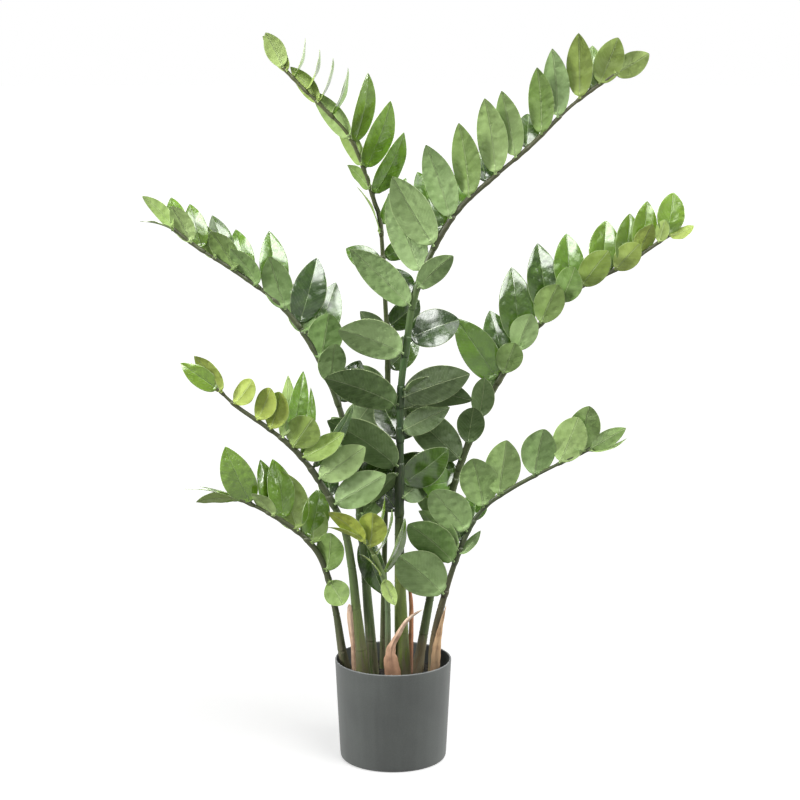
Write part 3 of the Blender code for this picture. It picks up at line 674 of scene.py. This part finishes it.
# leaves of each spray, tip first: the height where each leaves the stalk, then its tip from there
# (right, forward, up), its width, and its roll (0 turns the upper side to the front, 180 the underside)
leafSprays = {
    "a": [
        [(902, -22, 6, 42, 22, 168), (896, -32, -8, 44, 20, 150), (888, 14, -8, 48, 18, 85),
         (873, 17, 10, 50, 18, 86)],
        [(858, -36, -10, 44, 20, 160), (858, 18, 8, 54, 20, 84), (842, 20, -10, 58, 20, 74)],
        [(812, -48, -10, 60, 24, 160), (806, 17, 10, 88, 28, 40), (778, -32, -12, 55, 22, 150),
         (774, 32, 10, 86, 32, 30)],
        [(748, -28, -10, 30, 18, 145), (740, 38, 12, 80, 30, 35), (702, 30, -8, 60, 26, 30),
         (692, -29, -12, 58, 20, 95)],
        [(655, 50, -14, 36, 26, 20), (642, -46, -10, 26, 26, 15), (622, -24, -14, 22, 16, 150)],
        [(566, 40, -22, 34, 30, 10), (540, -34, -34, 44, 30, 150), (512, 36, -36, 40, 32, 20),
         (478, -50, -24, 30, 34, 160)],
        [(452, 54, -12, 16, 38, 170), (420, 44, -30, 36, 34, 10), (402, -40, -30, 40, 32, 20),
         (385, -44, -34, 28, 34, 170), (366, 56, -20, 20, 38, 10), (340, 30, -46, 24, 34, 10),
         (318, -34, -36, 34, 30, 10)],
    ],
    "b": [
        [(893, 42, 6, 26, 25, 180), (880, 22, 12, 56, 30, 172), (872, 4, -14, 54, 24, 10),
         (862, -4, 25, 79, 28, 170)],
        [(840, -8, 14, 84, 28, 170), (818, -6, 14, 82, 28, 165), (800, 4, -22, 42, 24, 10),
         (790, -18, 14, 82, 28, 168)],
        [(768, -14, 16, 94, 33, 168), (758, -8, -28, 36, 24, 10), (740, -13, 16, 92, 31, 165),
         (724, 0, -34, 42, 26, 10)],
        [(712, -30, 18, 92, 34, 168), (702, -2, -34, 34, 24, 10), (690, -26, -20, 78, 34, 15),
         (678, -50, 35, 89, 40, 180)],
        [(644, -39, 7, 100, 38, 176), (624, 42, 14, 44, 28, 200), (612, -20, -26, 34, 20, 20),
         (602, -74, 16, 74, 36, 165)],
        [(558, 62, -14, 24, 40, -20), (540, -80, 18, 32, 48, 155)],
        [(494, 88, -8, -16, 38, 200), (484, 84, 14, 32, 40, 178), (474, -92, 20, 38, 46, 158)],
        [(438, 60, -20, 26, 28, 170), (426, -24, -30, 46, 32, 20)],
        [(394, -88, 20, 64, 46, 162), (382, -32, 4, -40, 20, 150), (368, 58, -16, 44, 38, 10),
         (352, 40, -34, 26, 32, 170), (330, -29, -18, 48, 30, 5)],
    ],
    "c": [
        [(700, -40, -6, 40, 20, 150), (699, -42, 4, 12, 20, 98), (689, -18, -14, 48, 22, -5),
         (682, -24, 12, 46, 23, 177), (672, -17, -14, 56, 24, 10)],
        [(660, -39, -6, 50, 25, 162), (651, -22, -16, 62, 26, 25), (645, -30, 22, 51, 27, 165),
         (633, -17, -16, 61, 26, 10), (624, -33, 22, 49, 27, 150)],
        [(606, -10, -18, 86, 32, 10), (595, -20, 16, 68, 32, 185), (574, 22, -16, 84, 38, 10)],
        [(562, -14, -12, 64, 32, 174), (542, 26, -18, 82, 36, -5), (526, 10, 16, 62, 37, 180)],
        [(497, 4, 16, 54, 31, 199), (470, 26, -30, 50, 30, 10)],
        [(430, 34, -24, 44, 34, 170), (400, -26, -36, 46, 34, 160), (360, 41, -13, 41, 34, 10)],
        [(318, 33, -13, 55, 32, 170), (288, 26, 14, -74, 32, 20)],
    ],
    "d": [
        [(503, -45, 8, 36, 22, 15), (499, -34, 8, 47, 20, 165)],
        [(484, 23, 8, 31, 24, 150), (463, 17, 10, 41, 26, 150), (450, 12, 10, 48, 28, 155)],
        [(438, 6, -18, 76, 18, 165), (430, 16, -24, 88, 22, 20), (426, 25, 14, 38, 36, 175),
         (414, 10, -22, 83, 16, 50), (412, 52, 12, 32, 26, 145)],
        [(394, 50, -15, 79, 20, 45), (384, 58, 14, 42, 34, 172)],
        [(356, -6, -16, 30, 22, 0), (348, 64, 14, 40, 36, 174)],
    ],
    "e": [
        [(358, -63, -4, 10, 22, 96), (356, -51, 8, -2, 20, 140), (353, -31, -17, -4, 12, 60),
         (347, -32, 10, 76, 36, 0)],
        [(334, -13, -12, 66, 26, 40), (330, -28, 18, 33, 20, 150), (322, -15, -14, 77, 32, 30),
         (309, -27, -7, 76, 42, 174)],
        [(296, 14, -22, 62, 34, 30), (290, 4, -10, 46, 30, 185), (252, 4, 16, 54, 32, 159),
         (240, 18, 18, -28, 28, 174)],
    ],
    "f": [
        [(691, 30, 6, 14, 16, 130), (688, 10, -12, 54, 30, 8), (682, 7, 8, 28, 16, 150),
         (666, 10, -12, 66, 28, 10), (663, 18, 10, 40, 22, 195)],
        [(651, 10, -12, 64, 28, 10), (645, 29, 18, 34, 26, 170), (637, 6, -12, 68, 34, 6),
         (624, 33, 20, 46, 30, 170)],
        [(613, -2, -14, 75, 34, 6), (603, 16, 27, 47, 30, 155), (586, -12, -14, 90, 37, 6),
         (576, 21, 22, 52, 32, 174)],
        [(546, -10, -14, 99, 40, 6), (539, 17, 22, 50, 30, 175), (516, -18, -16, 72, 34, 10),
         (508, 15, 20, 42, 28, 175), (497, -54, 8, 82, 40, 12)],
        [(472, 10, -8, 46, 14, 150), (451, 8, 14, 54, 27, 159)],
        [(416, 8, 16, 50, 30, 174), (394, -68, 6, 68, 42, 178), (382, -55, -14, -26, 36, 20)],
        [(364, -40, 18, -2, 36, 5), (340, -39, -38, 33, 36, 10), (318, -40, -34, 30, 34, 170),
         (290, 36, -40, 28, 34, 10)],
    ],
    "g": [
        [(427, 44, 6, 26, 18, 165), (425, 48, -6, 14, 12, 100), (420, 10, 14, 62, 34, 178),
         (406, 22, 14, 60, 36, 163)],
        [(389, 12, 16, 62, 36, 180), (361, 10, 16, 74, 38, 178), (345, -14, 18, 66, 40, 174)],
        [(324, 6, -24, 36, 26, 10), (312, -44, 18, 56, 42, 165), (296, -10, -28, 28, 26, 10)],
        [(284, -50, -14, 48, 34, 138), (281, 26, -6, 28, 12, 140), (270, -58, 18, 53, 42, 160)],
        [(226, -56, 20, 54, 50, 174)],
    ],
    "h": [
        [(305, -46, 10, 40, 24, 150), (303, -50, -1, 20, 14, 120), (300, 20, -10, 60, 16, 75),
         (296, 3, 19, 48, 32, 165)],
        [(281, 20, 10, 64, 16, 76), (257, -26, 8, 29, 14, 100), (254, 26, -12, 72, 24, 60),
         (249, 14, 10, -32, 16, 160)],
    ],
}

# leaves: each spray is a thin collar on its stalk with its leaves growing from it

leafForm = {
    "rows": 24,
    "acrossSteps": (0, 0.03, 0.075, 0.15, 0.28, 0.44, 0.6, 0.76, 0.88, 0.96, 1),
    "fullness": (1.24, 1.18),
    "bow": 0.07,
    "fold": 0.16,
    "lean": 0.05,
    "twist": 0.16,
    "gripOut": 0.4,
    "gripRound": 0.85,
    "slenderRatios": (0.36, 0.62),
    "petioleWidth": 2.8,
    "petioleShare": 0.035,
    "middleThickness": 1.0,
    "marginThickness": 0.4,
    "ribHeight": 0.55,
    "ribWidth": 0.9,
    "waveHeight": 0.6,
    "collarWall": 0.5,
    "collarEnd": 5,
}

# how young the leaves of a spray are: 1 is new and yellow-green, 0 full grown, -1 old and dark; the negative
# values also paint the shade that falls on the sprays inside the plant
sprayYouthAndShade = {
    "h1": 1.0, "h2": 0.5, "d1": 0.75, "d2": 0.7, "d3": 0.3, "b1": 0.45, "a1": 0.5, "a2": 0.45, "a3": 0.3,
    "a4": 0.2, "c1": 0.35, "c2": 0.1, "c3": -0.05, "e1": 0.45, "e2": 0.25, "f1": 0.6, "f2": 0.5, "f3": 0.1,
    "g1": 0.1, "g2": 0.05,
    # the negative values from here on are the sprays inside the plant: their darker green is partly age and
    # partly painted shade
    "a5": -0.4, "a6": -0.7, "a7": -0.9, "b5": -0.25, "b6": -0.2, "b7": -0.8, "b8": -0.8, "b9": -0.7,
    "c4": -0.1, "c5": -0.4, "c6": -0.7, "c7": -0.5, "d4": 0.1, "d5": -0.2, "e3": 0.15, "f5": -0.6,
    "f6": -0.6,
    "g3": -0.1, "g4": -0.1, "g5": -0.1,
}
usualYouth = 0.06


def leafHalfWidth(share, width, slender):
    # slender leaves are widest low down and run to a point; broad ones are rounder at the tip
    petiole = leafForm["petioleWidth"] / 2 * mm
    start = leafForm["petioleShare"]
    if share < start:
        return petiole * (1 + 0.35 * hump(share, 0.035))
    t = (share - start) / (1 - start)
    oval = max(math.sin(math.pi * t ** (0.92 - 0.1 * slender)), 0) ** (0.55 + (0.05 + 0.2 * slender) * t * t)
    return petiole * (1 - t) + (width / 2 - petiole * (1 - t)) * oval


def addLeaf(shape, layers, route, row, youthAndShade, dice):
    height, right, forward, up, width, roll = row
    length = route.atHeight(height * mm)
    tangent = route.tangent(length)
    reach = Vector((right, -forward, up)) * mm
    direction = reach.normalized()
    outward = (direction - tangent * direction.dot(tangent)).normalized()
    centre = route.at(length)
    radius = route.radius(length)
    tip = centre + outward * radius * 0.9 + reach
    # a leaf that shows its underside grows from the front of the stalk, the others from behind it
    front = Vector((0, -1, 0))
    cling = front if 90 < roll < 270 else -front
    cling = (cling - tangent * cling.dot(tangent)).normalized()
    base = centre + (outward * leafForm["gripOut"] + cling * leafForm["gripRound"]).normalized() * radius
    reach = tip - base
    direction = reach.normalized()
    normal = (front - direction * front.dot(direction)).normalized()
    normal = Matrix.Rotation(math.radians(roll), 3, direction) @ normal
    side = normal.cross(direction)

    # what makes each leaf its own
    tone = dice.random()
    lean = dice.uniform(-leafForm["lean"], leafForm["lean"])
    twist = dice.uniform(-leafForm["twist"], leafForm["twist"])
    bow = leafForm["bow"] * dice.uniform(0.85, 1.15)
    fold = leafForm["fold"] * dice.uniform(0.7, 1.2)
    waves = dice.uniform(1.2, 2.4)
    phase = dice.uniform(0, 1)
    waveHeight = leafForm["waveHeight"] * dice.uniform(0.5, 1.3) * mm
    slender = 1 - smooth(width * mm / reach.length, *leafForm["slenderRatios"])
    full = leafForm["fullness"][0] * (1 - slender) + leafForm["fullness"][1] * slender
    youthAndShade = min(1, max(-1, youthAndShade + dice.uniform(-0.12, 0.12)))

    steps = leafForm["acrossSteps"]
    across = [-u for u in reversed(steps[1:])] + list(steps)
    rings = []
    for i in range(leafForm["rows"] + 1):
        share = (1 - math.cos(math.pi * (i / leafForm["rows"]) ** 1.05)) / 2
        half = max(leafHalfWidth(share, width * full * mm, slender), 0.25 * mm)
        blade = smooth(share, 0.02, 0.1)
        turn = twist * (share - 0.4) * blade
        faceOut = normal * math.cos(turn) + side * math.sin(turn)
        faceSide = side * math.cos(turn) - normal * math.sin(turn)
        curve = bow * reach.length * (4 * share * (1 - share))
        spine = base + direction * reach.length * share + normal * curve
        spine += side * lean * reach.length * 2 * share * (1 - share) * 0.5
        rib = leafForm["ribHeight"] * mm * blade * (1 - share * 0.75)
        ring = []
        for face in (1, -1):
            for u in (across if face > 0 else reversed(across)):
                x = u * half
                crease = math.sqrt(u * u + 0.004) - 0.063
                lift = fold * half * (crease - 0.3 * u ** 4) * blade
                wave = math.sin(2 * math.pi * (waves * share + phase + (0.3 if u > 0 else 0)))
                lift += waveHeight * wave * abs(u) ** 3 * blade * min(1, half / (8 * mm))
                thick = leafForm["middleThickness"] * (1 - abs(u)) + leafForm["marginThickness"] * abs(u)
                flat = thick / 2 * mm * min(1, 0.35 + (1 - share) * 2)
                stem = half * math.sqrt(max(1 - u * u, 0.01))
                thickness = stem + (flat - stem) * blade
                ridge = hump(x, leafForm["ribWidth"] * mm)
                if face > 0:
                    lift += thickness - rib * 0.35 * ridge
                else:
                    lift -= thickness + rib * ridge
                place = spine + faceSide * x + faceOut * lift
                note = Vector((x / mm, reach.length * share / mm, face))
                ring.append((place, note, Vector((tone, youthAndShade, u))))
        rings.append(ring)
    loft(shape, rings, layers)


def addCollar(shape, layers, route, rows, span, atTip, stalk):
    # the collar swells a little where each leaf joins it, and thins out at its ends
    joints = [route.atHeight(row[0] * mm) for row in rows]
    rings = []
    for length in evenSteps(span[0], span[1], 2.5 * mm):
        ends = min(length - span[0], span[1] - length)
        wall = 0.2 + (leafForm["collarWall"] - 0.2) * smooth(ends, 0, 3 * mm)
        wall += 0.4 * max(hump(length - joint - mm, 3.5 * mm) for joint in joints)
        rings.append(stalkRing(route, length, wall * mm, stalk))
    if atTip:
        tip = route.softTangent(route.length)
        for reach, size in ((1.2, 0.75), (2.2, 0.4), (2.8, 0.1)):
            ring = stalkRing(route, route.length, leafForm["collarWall"] * mm, stalk)
            centre = route.at(route.length)
            rings.append([(centre + (place - centre) * size + tip * reach * mm, *notes)
                          for place, *notes in ring])
    loft(shape, rings, layers)


def collarSpans(route, sprays):
    marks = [[route.atHeight(row[0] * mm) for row in rows] for rows in sprays]
    end = leafForm["collarEnd"] * mm
    gap = 0.6 * mm
    spans = []
    for i, own in enumerate(marks):
        low = min(own) - end
        high = max(own) + end
        if i + 1 < len(marks):
            low = max(low, (min(own) + max(marks[i + 1]) + gap) / 2)
        if i > 0:
            high = min(high, (max(own) + min(marks[i - 1]) - gap) / 2)
        spans.append((max(low, 2 * mm), min(high, route.length)))
    return spans


def mouldedLeafPlastic():
    # Leaf film moulded from soft polyethylene: the upper side has taken the mould's gloss and
    # its fine puckers, and the underside stays paler and matt, with the rib standing out.
    material, tree, shader = startMaterial("mouldedPolyethyleneLeaf")
    place = addNode(tree, "ShaderNodeAttribute", {"attribute_name": "leafPlace"})
    note = addNode(tree, "ShaderNodeAttribute", {"attribute_name": "leafTone"})
    placeParts = addNode(tree, "ShaderNodeSeparateXYZ", None, {"Vector": place.outputs["Vector"]})
    noteParts = addNode(tree, "ShaderNodeSeparateXYZ", None, {"Vector": note.outputs["Vector"]})
    across, along, face = placeParts.outputs
    tone, youthAndShade, edgeward = noteParts.outputs
    spot = addNode(tree, "ShaderNodeTexCoord")
    isUpper = addNode(tree, "ShaderNodeMath", {"operation": "GREATER_THAN"}, {0: face, 1: 0.0})
    blotch = addNode(tree, "ShaderNodeTexNoise", None, {
        "Vector": spot.outputs["Object"], "Scale": perMetre(18), "Detail": 3, "Roughness": 0.6})
    fleck = addNode(tree, "ShaderNodeTexNoise", None, {
        "Vector": spot.outputs["Object"], "Scale": perMetre(2.2), "Detail": 3, "Roughness": 0.7})

    # full-grown and new greens on each side, mottled by the blotches
    mottle = addNode(tree, "ShaderNodeMath", {"operation": "ADD"}, {0: blotch.outputs["Fac"], 1: tone})
    patch = addNode(tree, "ShaderNodeMapRange", None, {"Value": mottle.outputs[0], "From Min": 0.5,
                                                       "From Max": 1.5})
    upper = addNode(tree, "ShaderNodeMixRGB", None, {
        "Fac": patch.outputs[0], "Color1": toLinear("#2F4F12"), "Color2": toLinear("#6C992C")})
    under = addNode(tree, "ShaderNodeMixRGB", None, {
        "Fac": patch.outputs[0], "Color1": toLinear("#6C9046"), "Color2": toLinear("#B2D18C")})
    grown = addNode(tree, "ShaderNodeMixRGB", None, {
        "Fac": isUpper.outputs[0], "Color1": under.outputs[0], "Color2": upper.outputs[0]})
    fresh = addNode(tree, "ShaderNodeMixRGB", None, {
        "Fac": isUpper.outputs[0], "Color1": toLinear("#ACBB4C"), "Color2": toLinear("#8AB02A")})
    newness = addNode(tree, "ShaderNodeMath", {"operation": "MAXIMUM"}, {0: youthAndShade, 1: 0.0})
    coloured = addNode(tree, "ShaderNodeMixRGB", None, {
        "Fac": newness.outputs[0], "Color1": grown.outputs[0], "Color2": fresh.outputs[0]})
    # below zero the leaves are scaled darker, for older leaves and as painted shade inside the plant
    ageingAndShade = addNode(tree, "ShaderNodeMapRange", None, {
        "Value": youthAndShade, "From Min": -1.0, "From Max": 0.0, "To Min": 0.2, "To Max": 1.0})
    agedAndShaded = addNode(tree, "ShaderNodeVectorMath", {"operation": "SCALE"}, {
        "Vector": coloured.outputs[0], "Scale": ageingAndShade.outputs[0]})

    # small flecks where the pigment is uneven
    fleckRange = addNode(tree, "ShaderNodeMapRange", None, {
        "Value": fleck.outputs["Fac"], "From Min": 0.3, "From Max": 0.7, "To Min": 0.93, "To Max": 1.06})
    flecked = addNode(tree, "ShaderNodeVectorMath", {"operation": "SCALE"}, {
        "Vector": agedAndShaded.outputs[0], "Scale": fleckRange.outputs[0]})

    # the middle vein, 1.2 mm wide, and side veins every 5 mm that lean towards the tip
    offMiddle = addNode(tree, "ShaderNodeMath", {"operation": "ABSOLUTE"}, {0: across})
    middle = addNode(tree, "ShaderNodeMapRange", {"interpolation_type": "SMOOTHSTEP"}, {
        "Value": offMiddle.outputs[0], "From Min": 0.25, "From Max": 0.9, "To Min": 1.0, "To Max": 0.0})
    leaning = addNode(tree, "ShaderNodeMath", {"operation": "MULTIPLY_ADD"}, {
        0: offMiddle.outputs[0], 1: -0.9, 2: along})
    wander = addNode(tree, "ShaderNodeMath", {"operation": "MULTIPLY_ADD"}, {
        0: blotch.outputs["Fac"], 1: 6.0, 2: leaning.outputs[0]})
    ripple = addNode(tree, "ShaderNodeMath", {"operation": "PINGPONG"}, {0: wander.outputs[0], 1: 2.6})
    sideVein = addNode(tree, "ShaderNodeMapRange", {"interpolation_type": "SMOOTHSTEP"}, {
        "Value": ripple.outputs[0], "From Min": 0.0, "From Max": 0.5, "To Min": 1.0, "To Max": 0.0})
    veinShow = addNode(tree, "ShaderNodeMath", {"operation": "MULTIPLY"}, {0: sideVein.outputs[0], 1: 0.17})
    veins = addNode(tree, "ShaderNodeMath", {"operation": "MAXIMUM"}, {0: veinShow.outputs[0],
                                                                      1: middle.outputs[0]})
    veinShade = addNode(tree, "ShaderNodeMixRGB", None, {
        "Fac": isUpper.outputs[0], "Color1": toLinear("#C2D59C"), "Color2": toLinear("#A9C77E")})
    veinMix = addNode(tree, "ShaderNodeMath", {"operation": "MULTIPLY"}, {0: veins.outputs[0], 1: 0.4})
    veined = addNode(tree, "ShaderNodeMixRGB", None, {
        "Fac": veinMix.outputs[0], "Color1": flecked.outputs[0], "Color2": veinShade.outputs[0]})

    # the cut margin shows a paler line
    edge = addNode(tree, "ShaderNodeMath", {"operation": "ABSOLUTE"}, {0: edgeward})
    rim = addNode(tree, "ShaderNodeMapRange", None, {
        "Value": edge.outputs[0], "From Min": 0.955, "From Max": 1.0, "To Min": 0.0, "To Max": 0.7})
    rimmed = addNode(tree, "ShaderNodeMixRGB", None, {
        "Fac": rim.outputs[0], "Color1": veined.outputs[0], "Color2": toLinear("#C8DA9E")})
    tree.links.new(rimmed.outputs[0], shader.inputs["Base Color"])

    # gloss on the upper side only
    gloss = addNode(tree, "ShaderNodeMapRange", None, {
        "Value": isUpper.outputs[0], "To Min": 0.48, "To Max": 0.17})
    uneven = addNode(tree, "ShaderNodeMath", {"operation": "MULTIPLY_ADD"}, {
        0: fleck.outputs["Fac"], 1: 0.16, 2: gloss.outputs[0]})
    tree.links.new(uneven.outputs[0], shader.inputs["Roughness"])
    shader.inputs["Specular IOR Level"].default_value = 0.3
    shader.inputs["IOR"].default_value = 1.51
    coat = addNode(tree, "ShaderNodeMath", {"operation": "MULTIPLY"}, {0: isUpper.outputs[0], 1: 0.9})
    tree.links.new(coat.outputs[0], shader.inputs["Coat Weight"])
    shader.inputs["Coat Roughness"].default_value = 0.14

    # puckers about 9 mm across, with the veins pressed in
    pucker = addNode(tree, "ShaderNodeTexVoronoi", {"feature": "SMOOTH_F1"}, {
        "Vector": spot.outputs["Object"], "Scale": perMetre(9), "Smoothness": 0.9})
    relief = addNode(tree, "ShaderNodeMath", {"operation": "MULTIPLY_ADD"}, {
        0: veins.outputs[0], 1: -0.5, 2: pucker.outputs["Distance"]})
    reliefFine = addNode(tree, "ShaderNodeMath", {"operation": "MULTIPLY_ADD"}, {
        0: fleck.outputs["Fac"], 1: 0.1, 2: relief.outputs[0]})
    bump = addNode(tree, "ShaderNodeBump", None, {
        "Strength": 0.9, "Distance": 2.2 * mm, "Height": reliefFine.outputs[0]})
    tree.links.new(bump.outputs[0], shader.inputs["Normal"])
    return material


def buildLeaves():
    leafSkin = mouldedLeafPlastic()
    for name, sprays in leafSprays.items():
        route = routes[name]
        spans = collarSpans(route, sprays)
        for number, rows in enumerate(sprays, 1):
            spray = name + str(number)
            dice = random.Random("leaves " + spray)
            shape = bmesh.new()
            layers = [shape.verts.layers.float_vector.new(title) for title in ("leafPlace", "leafTone")]
            for row in rows:
                addLeaf(shape, layers, route, row, sprayYouthAndShade.get(spray, usualYouth), dice)
            leafFaces = len(shape.faces)
            stalkLayers = [shape.verts.layers.float_vector.new(title)
                           for title in ("stalkPlace", "stalkTone")]
            addCollar(shape, stalkLayers, route, rows, spans[number - 1], number == 1, name)
            shape.faces.ensure_lookup_table()
            for face in shape.faces[leafFaces:]:
                face.material_index = 1
            bmesh.ops.recalc_face_normals(shape, faces=shape.faces)
            finishPiece("spray_" + spray, shape, [leafSkin, stalkSkin], "leaf", "leaves_" + spray)
    print("leaves made:", sum(len(rows) for sprays in leafSprays.values() for rows in sprays))


buildLeaves()


# dry sheaths, foot first: right, back, up in millimetres
sheathRows = {
    "front": [(2, -24, 109), (-3, -28, 150), (7, -31, 175), (20, -33, 196), (39, -34, 210)],
    "back": [(23, 4, 109), (24, 7, 160), (24, 7, 205), (20, 5, 238)],
    "left": [(-50, -20, 109), (-51, -21, 150), (-56, -23, 190), (-57, -25, 214)],
    "right": [(55, -21, 109), (57, -22, 150), (62, -24, 182), (69, -27, 212)],
}

# each sheath is a curled strip that narrows from its foot
sheathForm = {
    "rows": 44,
    "columns": 14,
    "thickness": 0.45,
    "curl": 0.55,
    "ripple": 0.5,
    "fray": 0.1,
}

# the way each sheath faces, its widths as share of the length and millimetres, and its colours
# at the foot and at the tip
sheathLooks = {
    "front": ((0.1, -1.0, 0.2),
              ((0, 21), (0.24, 19), (0.34, 13), (0.48, 8), (0.75, 5.5), (0.92, 3), (1, 0.6)),
              "#E3A276", "#EFDAC2"),
    "back": ((0.2, -1.0, 0.0), ((0, 7), (0.75, 6), (0.92, 4), (1, 0.8)), "#9A6444", "#C98F68"),
    "left": ((-0.2, -1.0, 0.0), ((0, 10), (0.85, 8.5), (0.96, 6), (1, 2)), "#CBA382", "#E9CBB0"),
    "right": ((0.1, -1.0, 0.1), ((0, 13), (0.4, 11.5), (0.6, 8), (0.8, 4.5), (1, 0.8)), "#B08E66", "#DDB990"),
}


def widthAt(widths, share):
    low = widths[0]
    for high in widths[1:]:
        if share <= high[0]:
            return low[1] + (high[1] - low[1]) * smooth(share, low[0], high[0])
        low = high
    return low[1]


def driedSheathFibre():
    # Dried leaf-sheath paper: orange-brown, dull, with long fibres and darker blotches.
    material, tree, shader = startMaterial("driedSheathPaper")
    place = addNode(tree, "ShaderNodeAttribute", {"attribute_name": "sheathPlace"})
    tone = addNode(tree, "ShaderNodeAttribute", {"attribute_name": "sheathTone"})
    lengthwise = addNode(tree, "ShaderNodeMapping", None, {"Vector": place.outputs["Vector"],
                                                           "Scale": (0.55, 0.03, 1)})
    fibres = addNode(tree, "ShaderNodeTexNoise", None, {
        "Vector": lengthwise.outputs[0], "Scale": 1.0, "Detail": 5, "Roughness": 0.7})
    blotch = addNode(tree, "ShaderNodeTexNoise", None, {
        "Vector": place.outputs["Vector"], "Scale": 0.07, "Detail": 3})
    fibreRange = addNode(tree, "ShaderNodeMapRange", None, {
        "Value": fibres.outputs["Fac"], "From Min": 0.3, "From Max": 0.7, "To Min": 0.62, "To Max": 1.2})
    paper = addNode(tree, "ShaderNodeVectorMath", {"operation": "SCALE"}, {
        "Vector": tone.outputs["Vector"], "Scale": fibreRange.outputs[0]})
    patch = addNode(tree, "ShaderNodeMapRange", None, {
        "Value": blotch.outputs["Fac"], "From Min": 0.45, "From Max": 0.75, "To Max": 0.62})
    stained = addNode(tree, "ShaderNodeMixRGB", None, {
        "Fac": patch.outputs[0], "Color1": paper.outputs[0], "Color2": toLinear("#7E553B")})
    # the foot has weathered to a grey brown
    spot = addNode(tree, "ShaderNodeTexCoord")
    height = addNode(tree, "ShaderNodeSeparateXYZ", None, {"Vector": spot.outputs["Object"]})
    footward = addNode(tree, "ShaderNodeMapRange", {"interpolation_type": "SMOOTHSTEP"}, {
        "Value": height.outputs["Z"], "From Min": 0.115, "From Max": 0.165, "To Min": 0.6, "To Max": 0.0})
    weathered = addNode(tree, "ShaderNodeMath", {"operation": "MULTIPLY"}, {
        0: fibreRange.outputs[0], 1: footward.outputs[0]})
    footed = addNode(tree, "ShaderNodeMixRGB", None, {
        "Fac": weathered.outputs[0], "Color1": stained.outputs[0], "Color2": toLinear("#5F5546")})
    tree.links.new(footed.outputs[0], shader.inputs["Base Color"])
    shader.inputs["Roughness"].default_value = 0.78
    shader.inputs["IOR"].default_value = 1.45
    bump = addNode(tree, "ShaderNodeBump", None, {
        "Strength": 0.7, "Distance": 0.35 * mm, "Height": fibres.outputs["Fac"]})
    tree.links.new(bump.outputs[0], shader.inputs["Normal"])
    return material


def buildSheath(name, rows, paper):
    f = sheathForm
    line = Route(rows)
    facing, widths, footColour, tipColour = sheathLooks[name]
    outward = Vector(facing).normalized()
    footTone, tipTone = (Vector(toLinear(colour)[:3]) for colour in (footColour, tipColour))
    dice = random.Random("sheath " + name)
    seed = dice.uniform(0, 50)
    shape = bmesh.new()
    layers = [shape.verts.layers.float_vector.new(title) for title in ("sheathPlace", "sheathTone")]
    rings = []
    for i in range(f["rows"] + 1):
        share = i / f["rows"]
        tangent = line.softTangent(line.length * share)
        normal = -(outward - tangent * outward.dot(tangent)).normalized()
        side = normal.cross(tangent)
        half = widthAt(widths, share) * mm / 2
        half = max(half * (1 + f["fray"] * noise.noise(Vector((share * 14, seed, 0)))), 0.25 * mm)
        centre = line.at(line.length * share)
        ring = []
        for face in (1, -1):
            columns = range(f["columns"] + 1)
            for j in (columns if face > 0 else reversed(columns)):
                u = 2 * j / f["columns"] - 1
                ripple = noise.noise(Vector((u * 2.2, share * 5, seed))) * f["ripple"] * mm
                lift = f["curl"] * half * abs(u) ** 1.8 + ripple * min(1, half / (3 * mm))
                lift += face * f["thickness"] / 2 * mm
                ring.append((centre + side * u * half + normal * lift,
                             Vector((u * half / mm, line.length * share / mm, seed)),
                             footTone.lerp(tipTone, share)))
        rings.append(ring)
    loft(shape, rings, layers)
    bmesh.ops.recalc_face_normals(shape, faces=shape.faces)
    finishPiece("drySheath_" + name, shape, [paper], "sheath", "sheath_" + name)


sheathPaper = driedSheathFibre()
for name, rows in sheathRows.items():
    buildSheath(name, rows, sheathPaper)
print("sheaths made:", len(sheathRows))
